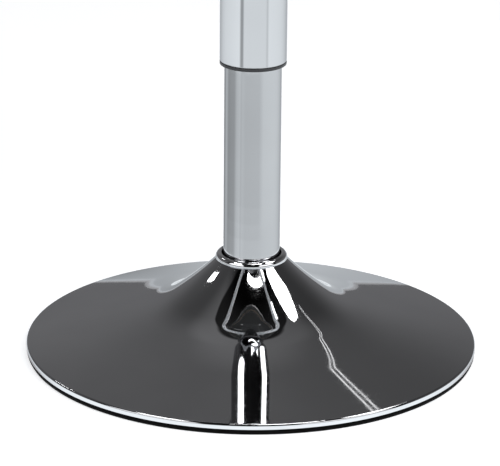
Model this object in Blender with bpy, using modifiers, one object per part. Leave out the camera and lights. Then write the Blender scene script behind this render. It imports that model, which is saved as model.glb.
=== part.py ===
"""Height-adjustable swivel bar stool on a trumpet base.

Metres, +Z up. The origin is on the floor under the middle of the base, and the stool's
front is -Y. A gas spring stands in the column: its rod turns on a thrust bearing in the
column's foot, and its cylinder slides on the rod and carries the sleeve, the footrest and
the seat. A hand lever under the seat presses the spring's release pin.
"""
from math import asin, cos, pi, radians, sin, tan

import bmesh
import bpy
from mathutils import Vector

# Clearances
FIT = 0.0003  # between pieces that rest on, or sit in, each other
RUN = 0.00035  # between pieces that slide or turn in each other
STOP_GAP = 0.0011  # left between sleeve and collar at the lowest seat height

# Travel of the moving pieces
LIFT_DOWN = 0.165
LIFT_UP = 0.045
LEVER_SWING = radians(7)

# Trumpet base, pressed from sheet: a conical dish that sweeps up through a knee into the neck
BASE_DIAMETER = 0.385
BASE_SHEET = 0.0015
RIM_HEIGHT = 0.0095  # of the dish where its edge starts to bend
RIM_BEND = 0.0022  # outer radius of the edge that turns down into the skirt
DISH_WIDTH = 0.0628
DISH_SLOPE = radians(13.9)
SWEEP_WIDTH = 0.036
SWEEP_SLOPE = radians(18.8)  # at its inner end
KNEE_WIDTH = 0.024
KNEE_SLOPE = radians(36.5)  # at its inner end
NECK_SLOPE = radians(45.6)  # at the collar

# Rubber ring under the rim
RING_FOOT = 0.0041  # what shows below the skirt
RING_WIDTH = 0.0095
RING_EDGE = 0.0008  # chamfer of its lower edges

# Hub inside the base
HUB_PLATE_RADIUS = 0.064
HUB_PLATE_THICKNESS = 0.003
HUB_NOTCH_RADIUS = 0.007
HUB_NOTCHES = 3
HUB_SOCKET_WALL = 0.005
HUB_SOCKET_DROP = 0.024  # below the hub plate
HUB_SOCKET_GAP = 0.0015  # left under the collar

# Collar that closes the neck round the column
COLLAR_GAP = 0.0013
COLLAR_CURL = 0.0012
COLLAR_WIDTH = 0.0042
COLLAR_HEIGHT = 0.0051
COLLAR_LIP = 0.0009  # how far the collar stands over the neck
COLLAR_SKIRT = 0.006  # the part that plugs into the neck

# Column with its tapered foot
COLUMN_RADIUS = 0.024
COLUMN_WALL = 0.0016
COLUMN_TAPER = 0.001  # loss of radius towards the foot
COLUMN_INSET = 0.003  # foot of the column above the socket's lower edge
COLUMN_HEAD_ROOM = 0.010  # left above the column at the lowest seat height
END_CAP_FLANGE = 0.0022
END_CAP_PLUG = 0.004
END_CAP_WALL = 0.0015
GUIDE_LENGTH = 0.100
GUIDE_FLANGE = 0.003

# Thrust bearing and rod in the column's foot
ROD_RADIUS = 0.005
ROD_END_RADIUS = 0.004
ROD_GROOVE_DEPTH = 0.001
ROD_END_BELOW_CLIP = 0.002
ROD_PLATE_LIFT = 0.012  # underside of the rod plate above the column's foot
ROD_PLATE_THICKNESS = 0.004
WASHER_RADIUS = 0.010
WASHER_THICKNESS = 0.0015
BALL_RADIUS = 0.002
BALL_CIRCLE = 0.0072
BALL_COUNT = 8
CAGE_THICKNESS = 0.0016
CAGE_WIDTH = 0.005
CLIP_RADIUS = 0.0065
CLIP_THICKNESS = 0.0013
BUMP_STOP_RADIUS = 0.010
BUMP_STOP_HEIGHT = 0.012

# Gas spring
CYLINDER_RADIUS = 0.014
CYLINDER_WALL = 0.002
CYLINDER_HEAD = 0.008
CYLINDER_TAPER = 0.0005
CYLINDER_RISE = 0.0045  # head above the floor of the seat pan
GLAND_LENGTH = 0.020
PISTON_HEIGHT = 0.014
PISTON_NECK = 0.0035  # radius of the rod's end inside the piston
PIN_RADIUS = 0.004
PIN_HEAD_RADIUS = 0.0065
PIN_HEAD = 0.004
PIN_RISE = 0.006  # stands above the cylinder's head

# Sleeve that rides with the seat
SLEEVE_RADIUS = 0.028
SLEEVE_WALL = 0.0015
SLEEVE_LENGTH = 0.450
SLEEVE_RING_HEIGHT = 0.0037
SLEEVE_RING_SPIGOT = 0.030
SLEEVE_BUSH_HEIGHT = 0.012
SLEEVE_BUSH_DROP = 0.003

# Footrest, one bent tube
FOOTREST_HEIGHT = 0.200  # centre line above the sleeve's lower end
FOOTREST_TUBE = 0.022
FOOTREST_WALL = 0.0015
FOOTREST_WIDTH = 0.296
FOOTREST_REACH = 0.179
FOOTREST_BACK_BEND = 0.045
FOOTREST_FRONT_BEND = 0.085

# Seat pan, its socket and the lever in it
PAN_SHEET = 0.0025
PAN_SIZE = 0.120
PAN_DEPTH = 0.030
PAN_CORNER = 0.012
FLANGE_SIZE = 0.190
FLANGE_CORNER = 0.018
SEAT_SOCKET_WALL = 0.005
SEAT_SOCKET_DROP = 0.025
BOLT_INSET = 0.017  # bolts in from the flange's edges
BOLT_RADIUS = 0.003
BOLT_HEAD_RADIUS = 0.0055
BOLT_HEAD_HEIGHT = 0.004
BOLT_WASHER_RADIUS = 0.0075
BOLT_WASHER_THICKNESS = 0.0012
LEVER_RADIUS = 0.004
LEVER_HUB_RADIUS = 0.007
LEVER_HUB_LENGTH = 0.014
LEVER_OVERHANG = 0.004  # inner end past the release pin's axis
LEVER_DROP = 0.020
LEVER_BEND_LENGTH = 0.040
LEVER_REACH = 0.190
HANDLE_LENGTH = 0.068
HANDLE_RADIUS = 0.008
HANDLE_WAIST = 0.0068
HANDLE_MOUTH = 0.0064
HANDLE_BORE_DEPTH = 0.050
PIVOT_RADIUS = 0.0025
PIVOT_OVERHANG = 0.0015
BRACKET_LENGTH = 0.020
BRACKET_SHEET = 0.002
BRACKET_HEIGHT = 0.022
BRACKET_SETBACK = 0.005  # clear of the socket
LEVER_WALL_GAP = 0.006  # straight run of the lever beyond the pan's wall

# Seat
SEAT_DIAMETER = 0.366
BOARD_RADIUS = 0.165
BOARD_THICKNESS = 0.012
COVER_THICKNESS = 0.0008
COVER_MARGIN = 0.006
TEE_NUT_BARREL = 0.0045
TEE_NUT_FLANGE_RADIUS = 0.009
TEE_NUT_FLANGE = 0.0015
TEE_NUT_LENGTH = 0.0095
PAD_HEIGHT = 0.050  # from the board's top to the shoulder seam
PAD_CROWN = 0.013
PAD_SHOULDER = 0.018
PAD_DRAW_IN = 0.011  # of the sides, towards the hem

# Facets round a turned piece
BASE_FACETS = 48
TUBE_FACETS = 32
SMALL_FACETS = 16


def bore(radius, clearance, facets):
    """Corner radius of a faceted hole whose flats clear a round of this radius."""
    return (radius + clearance) / cos(pi / facets)


# Trumpet base: its stretches from the rim inwards, each with its inner radius and slope
BASE_RADIUS = BASE_DIAMETER / 2
EDGE_RADIUS = BASE_RADIUS - RIM_BEND * (1 - sin(DISH_SLOPE))
DISH_START = EDGE_RADIUS - DISH_WIDTH
SWEEP_START = DISH_START - SWEEP_WIDTH
KNEE_START = SWEEP_START - KNEE_WIDTH
COLLAR_BORE = COLUMN_RADIUS + COLLAR_GAP
COLLAR_CREST = COLLAR_BORE + COLLAR_CURL
COLLAR_RADIUS = COLLAR_CREST + COLLAR_WIDTH
NECK_RADIUS = COLLAR_RADIUS - COLLAR_LIP
STRETCHES = [
    (DISH_START, DISH_SLOPE),
    (SWEEP_START, SWEEP_SLOPE),
    (KNEE_START, KNEE_SLOPE),
    (NECK_RADIUS, NECK_SLOPE),
]
SKIRT_Z = RING_FOOT + FIT


def flare(radius):
    """Height and slope of the base's outer surface at a radius, over straight or arc stretches."""
    outer = EDGE_RADIUS
    height = RIM_HEIGHT
    slope = DISH_SLOPE
    for inner, inner_slope in STRETCHES:
        run = outer - max(radius, inner)
        rise = (sin(inner_slope) - sin(slope)) * run / (outer - inner)
        end_slope = asin(sin(slope) + rise)
        height += run * tan((slope + end_slope) / 2)
        slope = end_slope
        if radius >= inner:
            break
        outer = inner
    return height, slope


def flare_underside(radius):
    """Height of the base's inner surface at a radius."""
    slope = flare(radius)[1]
    height, slope = flare(radius + BASE_SHEET * sin(slope))
    return height - BASE_SHEET * cos(slope)


# Heights, from the floor upwards
NECK_Z = flare(NECK_RADIUS)[0]
COLLAR_Z = NECK_Z + FIT
COLLAR_TOP = COLLAR_Z + COLLAR_HEIGHT
HUB_PLATE_TOP = flare_underside(HUB_PLATE_RADIUS) - FIT
HUB_PLATE_Z = HUB_PLATE_TOP - HUB_PLATE_THICKNESS
HUB_SOCKET_Z = HUB_PLATE_Z - HUB_SOCKET_DROP
HUB_SOCKET_TOP = COLLAR_Z - COLLAR_SKIRT - HUB_SOCKET_GAP
HUB_SOCKET_RADIUS = COLUMN_RADIUS + FIT + HUB_SOCKET_WALL
COLUMN_Z = HUB_SOCKET_Z + COLUMN_INSET
ROD_PLATE_Z = COLUMN_Z + ROD_PLATE_LIFT
LOWER_WASHER_Z = ROD_PLATE_Z + ROD_PLATE_THICKNESS + FIT
CAGE_Z = LOWER_WASHER_Z + WASHER_THICKNESS + FIT + BALL_RADIUS
UPPER_WASHER_Z = CAGE_Z + BALL_RADIUS + FIT
ROD_SHOULDER_Z = UPPER_WASHER_Z + WASHER_THICKNESS + FIT
BUMP_STOP_TOP = ROD_SHOULDER_Z + BUMP_STOP_HEIGHT
CLIP_WASHER_Z = ROD_PLATE_Z - FIT - WASHER_THICKNESS
CLIP_Z = CLIP_WASHER_Z - FIT - CLIP_THICKNESS
ROD_END_Z = CLIP_Z - FIT - ROD_END_BELOW_CLIP
CYLINDER_Z = BUMP_STOP_TOP + FIT + LIFT_DOWN
PISTON_Z = CYLINDER_Z + FIT + GLAND_LENGTH + LIFT_UP + STOP_GAP
SLEEVE_RING_Z = COLLAR_TOP + STOP_GAP + LIFT_DOWN
SLEEVE_Z = SLEEVE_RING_Z + SLEEVE_RING_HEIGHT + FIT
SLEEVE_TOP = SLEEVE_RING_Z + SLEEVE_LENGTH
PAN_Z = SLEEVE_TOP + FIT
PAN_FLOOR = PAN_Z + PAN_SHEET
FLANGE_TOP = PAN_FLOOR + PAN_DEPTH
FLANGE_Z = FLANGE_TOP - PAN_SHEET
SEAT_SOCKET_Z = PAN_Z - SEAT_SOCKET_DROP
COLUMN_TOP = SEAT_SOCKET_Z - LIFT_DOWN - COLUMN_HEAD_ROOM - GUIDE_FLANGE
FOOTREST_Z = SLEEVE_RING_Z + FOOTREST_HEIGHT
CYLINDER_TOP = PAN_FLOOR + CYLINDER_RISE
PIN_TOP = CYLINDER_TOP + PIN_RISE
LEVER_Z = PIN_TOP + FIT + LEVER_RADIUS
COVER_Z = FLANGE_TOP + FIT
BOARD_Z = COVER_Z + COVER_THICKNESS + FIT
BOARD_TOP = BOARD_Z + BOARD_THICKNESS

# Radii that follow from the fits
COLUMN_BORE = COLUMN_RADIUS - COLUMN_WALL
COLUMN_FOOT_BORE = COLUMN_BORE - COLUMN_TAPER
SLEEVE_BORE = SLEEVE_RADIUS - SLEEVE_WALL
CYLINDER_BORE = CYLINDER_RADIUS - CYLINDER_WALL
SEAT_SOCKET_RADIUS = CYLINDER_RADIUS + FIT + SEAT_SOCKET_WALL
LEVER_PIVOT_X = -(SEAT_SOCKET_RADIUS + BRACKET_SETBACK + BRACKET_LENGTH / 2)
SEAT_RADIUS = SEAT_DIAMETER / 2

FINISHES = {
    "chrome": ((0.62, 0.62, 0.64), 0.08, 1.0),
    "steel": ((0.40, 0.40, 0.41), 0.40, 1.0),
    "rubber": ((0.012, 0.012, 0.012), 0.70, 0.0),
    "black_plastic": ((0.02, 0.02, 0.02), 0.40, 0.0),
    "grey_plastic": ((0.055, 0.055, 0.06), 0.45, 0.0),
    "black_paint": ((0.025, 0.025, 0.025), 0.45, 0.3),
    "plywood": ((0.52, 0.36, 0.20), 0.65, 0.0),
    "felt": ((0.018, 0.018, 0.018), 0.90, 0.0),
    "leather": ((0.022, 0.021, 0.021), 0.48, 0.0),
}


def clear_scene():
    """Remove every object that the file already holds."""
    for obj in list(bpy.data.objects):
        bpy.data.objects.remove(obj, do_unlink=True)


def collection(name):
    group = bpy.data.collections.new(name)
    bpy.context.scene.collection.children.link(group)
    return group


clear_scene()
PARTS = collection("bar_stool")
CUTTERS = collection("cutters")
AXES = {}


def axis(name, place, parent=None):
    """Make the empty on a joint's axis that carries a moving body."""
    empty = bpy.data.objects.new(name, None)
    PARTS.objects.link(empty)
    AXES[name] = Vector(place)
    put(empty, place, parent)
    return empty


def put(obj, place, parent=None):
    """Set an object at a world place, on its parent empty where it has one."""
    obj.location = Vector(place)
    if parent:
        obj.parent = parent
        obj.location -= AXES[parent.name]


def paint(obj, finish):
    """Give an object a material of its own."""
    colour, roughness, metallic = FINISHES[finish]
    material = bpy.data.materials.new(f"{obj.name}_{finish}")
    material.use_nodes = True
    shader = material.node_tree.nodes["Principled BSDF"]
    shader.inputs["Base Color"].default_value = (*colour, 1.0)
    shader.inputs["Roughness"].default_value = roughness
    shader.inputs["Metallic"].default_value = metallic
    obj.data.materials.append(material)


def add(name, mesh, finish, place=(0, 0, 0), parent=None):
    """Add a finished piece to the stool."""
    obj = bpy.data.objects.new(name, mesh)
    PARTS.objects.link(obj)
    put(obj, place, parent)
    paint(obj, finish)
    return obj


def smooth(mesh, angle=radians(35)):
    mesh.shade_smooth()
    mesh.set_sharp_from_angle(angle=angle)


def screw(obj, facets):
    """Turn an object's profile round Z."""
    turn = obj.modifiers.new("turn", "SCREW")
    turn.steps = facets
    turn.render_steps = facets
    turn.use_merge_vertices = True
    turn.merge_threshold = 0.00001
    turn.use_smooth_shade = True


def turned(name, profile, finish, height=0.0, parent=None, facets=SMALL_FACETS, closed=True):
    """A piece of revolution. The profile holds (radius, height) and runs down its outer side."""
    count = len(profile)
    edges = [(i, i + 1) for i in range(count - 1)]
    if closed:
        edges.append((count - 1, 0))
    mesh = bpy.data.meshes.new(name)
    mesh.from_pydata([(radius, 0.0, z) for radius, z in profile], edges, [])
    obj = add(name, mesh, finish, (0, 0, height), parent)
    screw(obj, facets)
    return obj


def ring(outer, inner, height):
    """Profile of a plain ring standing on z = 0."""
    return [(outer, height), (outer, 0.0), (inner, 0.0), (inner, height)]


def disc(radius, height):
    """Half profile of a plain disc standing on z = 0."""
    return [(0.0, height), (radius, height), (radius, 0.0), (0.0, 0.0)]


def arc(centre, radius, start, end, steps):
    """Points of an arc in a profile, with angles from +X."""
    turns = [start + (end - start) * i / steps for i in range(steps + 1)]
    return [(centre[0] + radius * cos(a), centre[1] + radius * sin(a)) for a in turns]


def box_mesh(name, size):
    """A box centred on its own origin."""
    mesh = bpy.data.meshes.new(name)
    bm = bmesh.new()
    bmesh.ops.create_cube(bm, size=1.0)
    bmesh.ops.scale(bm, vec=size, verts=bm.verts)
    bm.to_mesh(mesh)
    bm.free()
    return mesh


def block_mesh(name, side, height, corner):
    """A square block centred on its own origin, with its upright edges rounded."""
    mesh = box_mesh(name, (side, side, height))
    bm = bmesh.new()
    bm.from_mesh(mesh)
    upright = [e for e in bm.edges if abs(e.verts[0].co.z - e.verts[1].co.z) > height / 2]
    bmesh.ops.bevel(bm, geom=upright, offset=corner, segments=3, profile=0.5, affect="EDGES")
    bm.to_mesh(mesh)
    bm.free()
    return mesh


def round_mesh(name, radius, length, facets=SMALL_FACETS):
    """A cylinder along Z, centred on its own origin."""
    mesh = bpy.data.meshes.new(name)
    bm = bmesh.new()
    bmesh.ops.create_cone(bm, cap_ends=True, segments=facets, radius1=radius, radius2=radius, depth=length)
    bm.to_mesh(mesh)
    bm.free()
    smooth(mesh)
    return mesh


def tool(name, mesh, place, rotation=(0, 0, 0)):
    """A shape that cuts, or joins, another and isn't a piece itself."""
    obj = bpy.data.objects.new(name, mesh)
    CUTTERS.objects.link(obj)
    obj.location = place
    obj.rotation_euler = rotation
    obj.hide_render = True
    obj.display_type = "WIRE"
    return obj


def combine(obj, other, operation="DIFFERENCE"):
    boolean = obj.modifiers.new(other.name, "BOOLEAN")
    boolean.operation = operation
    boolean.solver = "EXACT"
    boolean.object = other


def tube_mesh(name, points, radius, sides):
    """A closed round bar along a line of points."""
    curve = bpy.data.curves.new(name, "CURVE")
    curve.dimensions = "3D"
    curve.bevel_depth = radius
    curve.bevel_resolution = sides // 2 - 2
    curve.use_fill_caps = True
    spline = curve.splines.new("POLY")
    spline.points.add(len(points) - 1)
    for spot, point in zip(spline.points, points):
        spot.co = (*point, 1.0)
    obj = bpy.data.objects.new(name, curve)
    CUTTERS.objects.link(obj)
    graph = bpy.context.evaluated_depsgraph_get()
    mesh = bpy.data.meshes.new_from_object(obj.evaluated_get(graph))
    bpy.data.objects.remove(obj, do_unlink=True)
    bm = bmesh.new()
    bm.from_mesh(mesh)
    bmesh.ops.remove_doubles(bm, verts=bm.verts, dist=0.00001)
    bm.to_mesh(mesh)
    bm.free()
    mesh.materials.clear()
    smooth(mesh)
    return mesh


def rounded_path(corners, bends, steps):
    """Points along straight runs in a plane, with each inner corner bent to its radius."""
    path = [Vector(corners[0])]
    for before, corner, after, bend in zip(corners, corners[1:], corners[2:], bends):
        inward = (Vector(before) - Vector(corner)).normalized()
        onward = (Vector(after) - Vector(corner)).normalized()
        centre = Vector(corner) + (inward + onward) * bend
        for i in range(steps + 1):
            turn = pi / 2 * i / steps
            path.append(centre - onward * bend * cos(turn) - inward * bend * sin(turn))
    path.append(Vector(corners[-1]))
    return path


def make_base():
    """Pressed trumpet base, drawn as its outer surface and thickened inwards."""
    ends = [NECK_RADIUS, KNEE_START, SWEEP_START, DISH_START, EDGE_RADIUS]
    stretch_steps = (3, 4, 3, 2)
    bend_steps = 2
    radii = [NECK_RADIUS]
    for inner, outer, steps in zip(ends, ends[1:], stretch_steps):
        radii += [inner + (outer - inner) * (i + 1) / steps for i in range(steps)]
    profile = [(radius, flare(radius)[0]) for radius in radii]
    bend_centre = (BASE_RADIUS - RIM_BEND, RIM_HEIGHT - RIM_BEND * cos(DISH_SLOPE))
    profile += arc(bend_centre, RIM_BEND, pi / 2 - DISH_SLOPE, 0.0, bend_steps)[1:]
    profile.append((BASE_RADIUS, SKIRT_Z))
    shell = turned("base_shell", profile, "chrome", facets=BASE_FACETS, closed=False)
    wall = shell.modifiers.new("sheet", "SOLIDIFY")
    wall.thickness = BASE_SHEET
    wall.offset = -1.0
    wall.use_even_offset = True


def make_floor_ring():
    """Rubber ring: a foot below the skirt and a lip behind it."""
    outer = BASE_RADIUS - FIT
    behind = BASE_RADIUS - BASE_SHEET - FIT * 2
    inner = outer - RING_WIDTH
    lip = flare_underside(EDGE_RADIUS) - FIT * 2
    profile = [
        (outer, RING_FOOT), (outer, RING_EDGE), (outer - RING_EDGE, 0.0),
        (inner + RING_EDGE, 0.0), (inner, RING_EDGE), (inner, lip - RING_EDGE), (inner + RING_EDGE, lip),
        (behind - RING_EDGE, lip), (behind, lip - RING_EDGE), (behind, RING_FOOT),
    ]
    turned("floor_ring", profile, "rubber", facets=BASE_FACETS)


def make_hub():
    """Round plate across the inside of the base, and the socket through it."""
    hole = bore(HUB_SOCKET_RADIUS, FIT, TUBE_FACETS)
    plate = turned("hub_plate", ring(HUB_PLATE_RADIUS, hole, HUB_PLATE_THICKNESS), "steel",
                   HUB_PLATE_Z, facets=BASE_FACETS)
    for i in range(HUB_NOTCHES):
        turn = 2 * pi * (i + 0.5) / HUB_NOTCHES
        mesh = round_mesh("notch", HUB_NOTCH_RADIUS, HUB_PLATE_THICKNESS * 3, SMALL_FACETS)
        place = (HUB_PLATE_RADIUS * cos(turn), HUB_PLATE_RADIUS * sin(turn), HUB_PLATE_Z)
        combine(plate, tool(f"hub_notch_{i + 1}", mesh, place))
    top = bore(COLUMN_RADIUS, FIT, TUBE_FACETS)
    foot = bore(COLUMN_RADIUS - COLUMN_TAPER, FIT, TUBE_FACETS)
    height = HUB_SOCKET_TOP - HUB_SOCKET_Z
    profile = [
        (HUB_SOCKET_RADIUS, height), (HUB_SOCKET_RADIUS, 0.0),
        (foot, 0.0), (foot, COLUMN_INSET), (top, height),
    ]
    turned("hub_socket", profile, "steel", HUB_SOCKET_Z, facets=TUBE_FACETS)


def make_collar():
    """Domed ring that plugs into the neck and leaves a narrow gap round the column."""
    dome_steps = 5
    curl_steps = 3
    dome = [pi / 2 * i / dome_steps for i in range(dome_steps + 1)]
    profile = [(COLLAR_CREST + COLLAR_WIDTH * sin(a), COLLAR_HEIGHT * cos(a)) for a in dome]
    spigot = NECK_RADIUS - BASE_SHEET - FIT
    profile += [(NECK_RADIUS, 0.0), (spigot, 0.0), (spigot, -COLLAR_SKIRT), (COLLAR_BORE, -COLLAR_SKIRT)]
    profile += arc((COLLAR_CREST, COLLAR_HEIGHT - COLLAR_CURL), COLLAR_CURL, pi, pi / 2, curl_steps)[:-1]
    turned("neck_collar", profile, "chrome", COLLAR_Z, facets=TUBE_FACETS)


def make_column():
    """Fixed tube with its tapered foot, end cap and guide bush."""
    taper = HUB_SOCKET_TOP - COLUMN_Z
    height = COLUMN_TOP - COLUMN_Z
    profile = [
        (COLUMN_RADIUS, height), (COLUMN_RADIUS, taper), (COLUMN_RADIUS - COLUMN_TAPER, 0.0),
        (COLUMN_FOOT_BORE, 0.0), (COLUMN_BORE, taper), (COLUMN_BORE, height),
    ]
    turned("column_tube", profile, "chrome", COLUMN_Z, facets=TUBE_FACETS)

    plug = COLUMN_FOOT_BORE - RUN
    flange = COLUMN_RADIUS - COLUMN_TAPER - FIT
    cap = [
        (plug, END_CAP_PLUG), (plug, 0.0), (flange, 0.0), (flange, -END_CAP_FLANGE), (0.0, -END_CAP_FLANGE),
    ]
    cap = [(0.0, 0.0), (plug - END_CAP_WALL, 0.0), (plug - END_CAP_WALL, END_CAP_PLUG)] + cap
    turned("column_end_cap", cap, "black_plastic", COLUMN_Z - FIT, facets=TUBE_FACETS, closed=False)

    hole = bore(CYLINDER_RADIUS, RUN, TUBE_FACETS)
    body = COLUMN_BORE * cos(pi / TUBE_FACETS) - FIT
    bush = [
        (COLUMN_RADIUS, GUIDE_FLANGE), (COLUMN_RADIUS, 0.0), (body, 0.0), (body, -GUIDE_LENGTH),
        (hole, -GUIDE_LENGTH), (hole, GUIDE_FLANGE),
    ]
    turned("guide_bush", bush, "black_plastic", COLUMN_TOP + FIT, facets=TUBE_FACETS)


def make_bearing(swivel):
    """Plate that the rod stands on, with the thrust bearing above it and the clip below."""
    hole = bore(ROD_END_RADIUS, RUN, SMALL_FACETS)
    washer = ring(WASHER_RADIUS, hole, WASHER_THICKNESS)
    rim = (COLUMN_FOOT_BORE + COLUMN_TAPER * ROD_PLATE_LIFT / (HUB_SOCKET_TOP - COLUMN_Z)) - RUN
    turned("rod_plate", ring(rim, hole, ROD_PLATE_THICKNESS), "steel", ROD_PLATE_Z, facets=TUBE_FACETS)
    turned("bearing_lower_washer", washer, "steel", LOWER_WASHER_Z)
    turned("bearing_upper_washer", washer, "steel", UPPER_WASHER_Z, swivel)
    turned("rod_clip_washer", washer, "steel", CLIP_WASHER_Z, swivel)

    cage_ring = ring(BALL_CIRCLE + CAGE_WIDTH / 2, BALL_CIRCLE - CAGE_WIDTH / 2, CAGE_THICKNESS)
    cage = turned("bearing_cage", cage_ring, "steel", CAGE_Z - CAGE_THICKNESS / 2, swivel)
    for i in range(BALL_COUNT):
        turn = 2 * pi * i / BALL_COUNT
        mesh = bpy.data.meshes.new("ball")
        bm = bmesh.new()
        bmesh.ops.create_uvsphere(bm, u_segments=6, v_segments=4, radius=BALL_RADIUS)
        bm.to_mesh(mesh)
        bm.free()
        place = (BALL_CIRCLE * cos(turn), BALL_CIRCLE * sin(turn), CAGE_Z)
        combine(cage, tool(f"ball_{i + 1}", mesh, place), "UNION")

    groove = ROD_END_RADIUS - ROD_GROOVE_DEPTH
    clip_hole = bore(groove, FIT, SMALL_FACETS)
    clip = turned("rod_clip", ring(CLIP_RADIUS, clip_hole, CLIP_THICKNESS), "steel", CLIP_Z, swivel)
    mouth = box_mesh("clip_mouth", (CLIP_RADIUS * 2, groove, CLIP_THICKNESS * 3))
    combine(clip, tool("clip_mouth", mouth, (CLIP_RADIUS, 0, CLIP_Z)))


def make_gas_spring(swivel, lift, valve):
    """Rod and piston that stay at their height, and the cylinder that slides on them."""
    groove = ROD_END_RADIUS - ROD_GROOVE_DEPTH
    levels = [
        (0.0, PISTON_Z + PISTON_HEIGHT), (PISTON_NECK, PISTON_Z + PISTON_HEIGHT), (PISTON_NECK, PISTON_Z),
        (ROD_RADIUS, PISTON_Z), (ROD_RADIUS, ROD_SHOULDER_Z), (ROD_END_RADIUS, ROD_SHOULDER_Z),
        (ROD_END_RADIUS, CLIP_Z + CLIP_THICKNESS + FIT), (groove, CLIP_Z + CLIP_THICKNESS + FIT),
        (groove, CLIP_Z - FIT), (ROD_END_RADIUS, CLIP_Z - FIT), (ROD_END_RADIUS, ROD_END_Z), (0.0, ROD_END_Z),
    ]
    rod = [(radius, z - ROD_END_Z) for radius, z in levels]
    turned("piston_rod", rod, "steel", ROD_END_Z, swivel, closed=False)
    piston_radius = CYLINDER_BORE * cos(pi / TUBE_FACETS) - RUN
    piston = ring(piston_radius, bore(PISTON_NECK, FIT, SMALL_FACETS), PISTON_HEIGHT)
    turned("piston", piston, "black_plastic", PISTON_Z + FIT, swivel)
    slide_hole = bore(ROD_RADIUS, RUN, SMALL_FACETS)
    stop = ring(BUMP_STOP_RADIUS, slide_hole, BUMP_STOP_HEIGHT)
    turned("bump_stop", stop, "rubber", ROD_SHOULDER_Z, swivel)

    height = CYLINDER_TOP - CYLINDER_Z
    straight = SEAT_SOCKET_Z - CYLINDER_Z
    pin_hole = bore(PIN_RADIUS, RUN, TUBE_FACETS)
    cylinder = [
        (CYLINDER_RADIUS - CYLINDER_TAPER, height), (CYLINDER_RADIUS, straight), (CYLINDER_RADIUS, 0.0),
        (CYLINDER_BORE, 0.0), (CYLINDER_BORE, height - CYLINDER_HEAD), (pin_hole, height - CYLINDER_HEAD),
        (pin_hole, height),
    ]
    turned("gas_cylinder", cylinder, "black_paint", CYLINDER_Z, lift, TUBE_FACETS)
    gland = ring(piston_radius, slide_hole, GLAND_LENGTH)
    turned("cylinder_gland", gland, "black_plastic", CYLINDER_Z + FIT, lift)

    pin_head = -PIN_RISE - CYLINDER_HEAD - FIT
    pin = [
        (0.0, 0.0), (PIN_RADIUS, 0.0), (PIN_RADIUS, pin_head), (PIN_HEAD_RADIUS, pin_head),
        (PIN_HEAD_RADIUS, pin_head - PIN_HEAD), (0.0, pin_head - PIN_HEAD),
    ]
    turned("release_pin", pin, "steel", PIN_TOP, valve, closed=False)


def make_sleeve(lift):
    """Outer tube that hangs under the seat, with a guide ring below and a bush above."""
    tube = ring(SLEEVE_RADIUS, SLEEVE_BORE, SLEEVE_TOP - SLEEVE_Z)
    turned("sleeve_tube", tube, "chrome", SLEEVE_Z, lift, TUBE_FACETS)
    spigot = SLEEVE_BORE * cos(pi / TUBE_FACETS) - FIT
    hole = bore(COLUMN_RADIUS, RUN, TUBE_FACETS)
    top = SLEEVE_RING_HEIGHT + SLEEVE_RING_SPIGOT
    guide = [
        (spigot, top), (spigot, SLEEVE_RING_HEIGHT), (SLEEVE_RADIUS, SLEEVE_RING_HEIGHT),
        (SLEEVE_RADIUS, 0.0), (hole, 0.0), (hole, top),
    ]
    turned("sleeve_ring", guide, "grey_plastic", SLEEVE_RING_Z, lift, TUBE_FACETS)
    bush = ring(spigot, bore(SEAT_SOCKET_RADIUS, FIT, TUBE_FACETS), SLEEVE_BUSH_HEIGHT)
    bush_z = SLEEVE_TOP - SLEEVE_BUSH_DROP - SLEEVE_BUSH_HEIGHT
    turned("sleeve_bush", bush, "black_plastic", bush_z, lift, TUBE_FACETS)


def footrest_path(start):
    """Centre line of the footrest, from one side of the sleeve round to the other."""
    half = FOOTREST_WIDTH / 2
    corners = [(start, 0, 0), (half, 0, 0), (half, -FOOTREST_REACH, 0)]
    corners += [(-x, y, z) for x, y, z in reversed(corners)]
    bends = [FOOTREST_BACK_BEND, FOOTREST_FRONT_BEND, FOOTREST_FRONT_BEND, FOOTREST_BACK_BEND]
    return rounded_path(corners, bends, steps=6)


def make_footrest(lift):
    """One tube bent from side to side of the sleeve, with its open ends coped to it."""
    place = (0, 0, FOOTREST_Z)
    radius = FOOTREST_TUBE / 2
    mesh = tube_mesh("footrest", footrest_path(SLEEVE_RADIUS / 2), radius, sides=10)
    footrest = add("footrest", mesh, "chrome", place, lift)
    mesh = tube_mesh("footrest_bore", footrest_path(SLEEVE_RADIUS / 4), radius - FOOTREST_WALL, sides=10)
    combine(footrest, tool("footrest_bore", mesh, place))
    cope = bore(SLEEVE_RADIUS, FIT, TUBE_FACETS)
    mesh = round_mesh("footrest_cope", cope, FOOTREST_TUBE * 2, TUBE_FACETS)
    combine(footrest, tool("footrest_cope", mesh, place))


def bolt_places():
    half = FLANGE_SIZE / 2 - BOLT_INSET
    return [(half, half), (-half, half), (-half, -half), (half, -half)]


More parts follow.
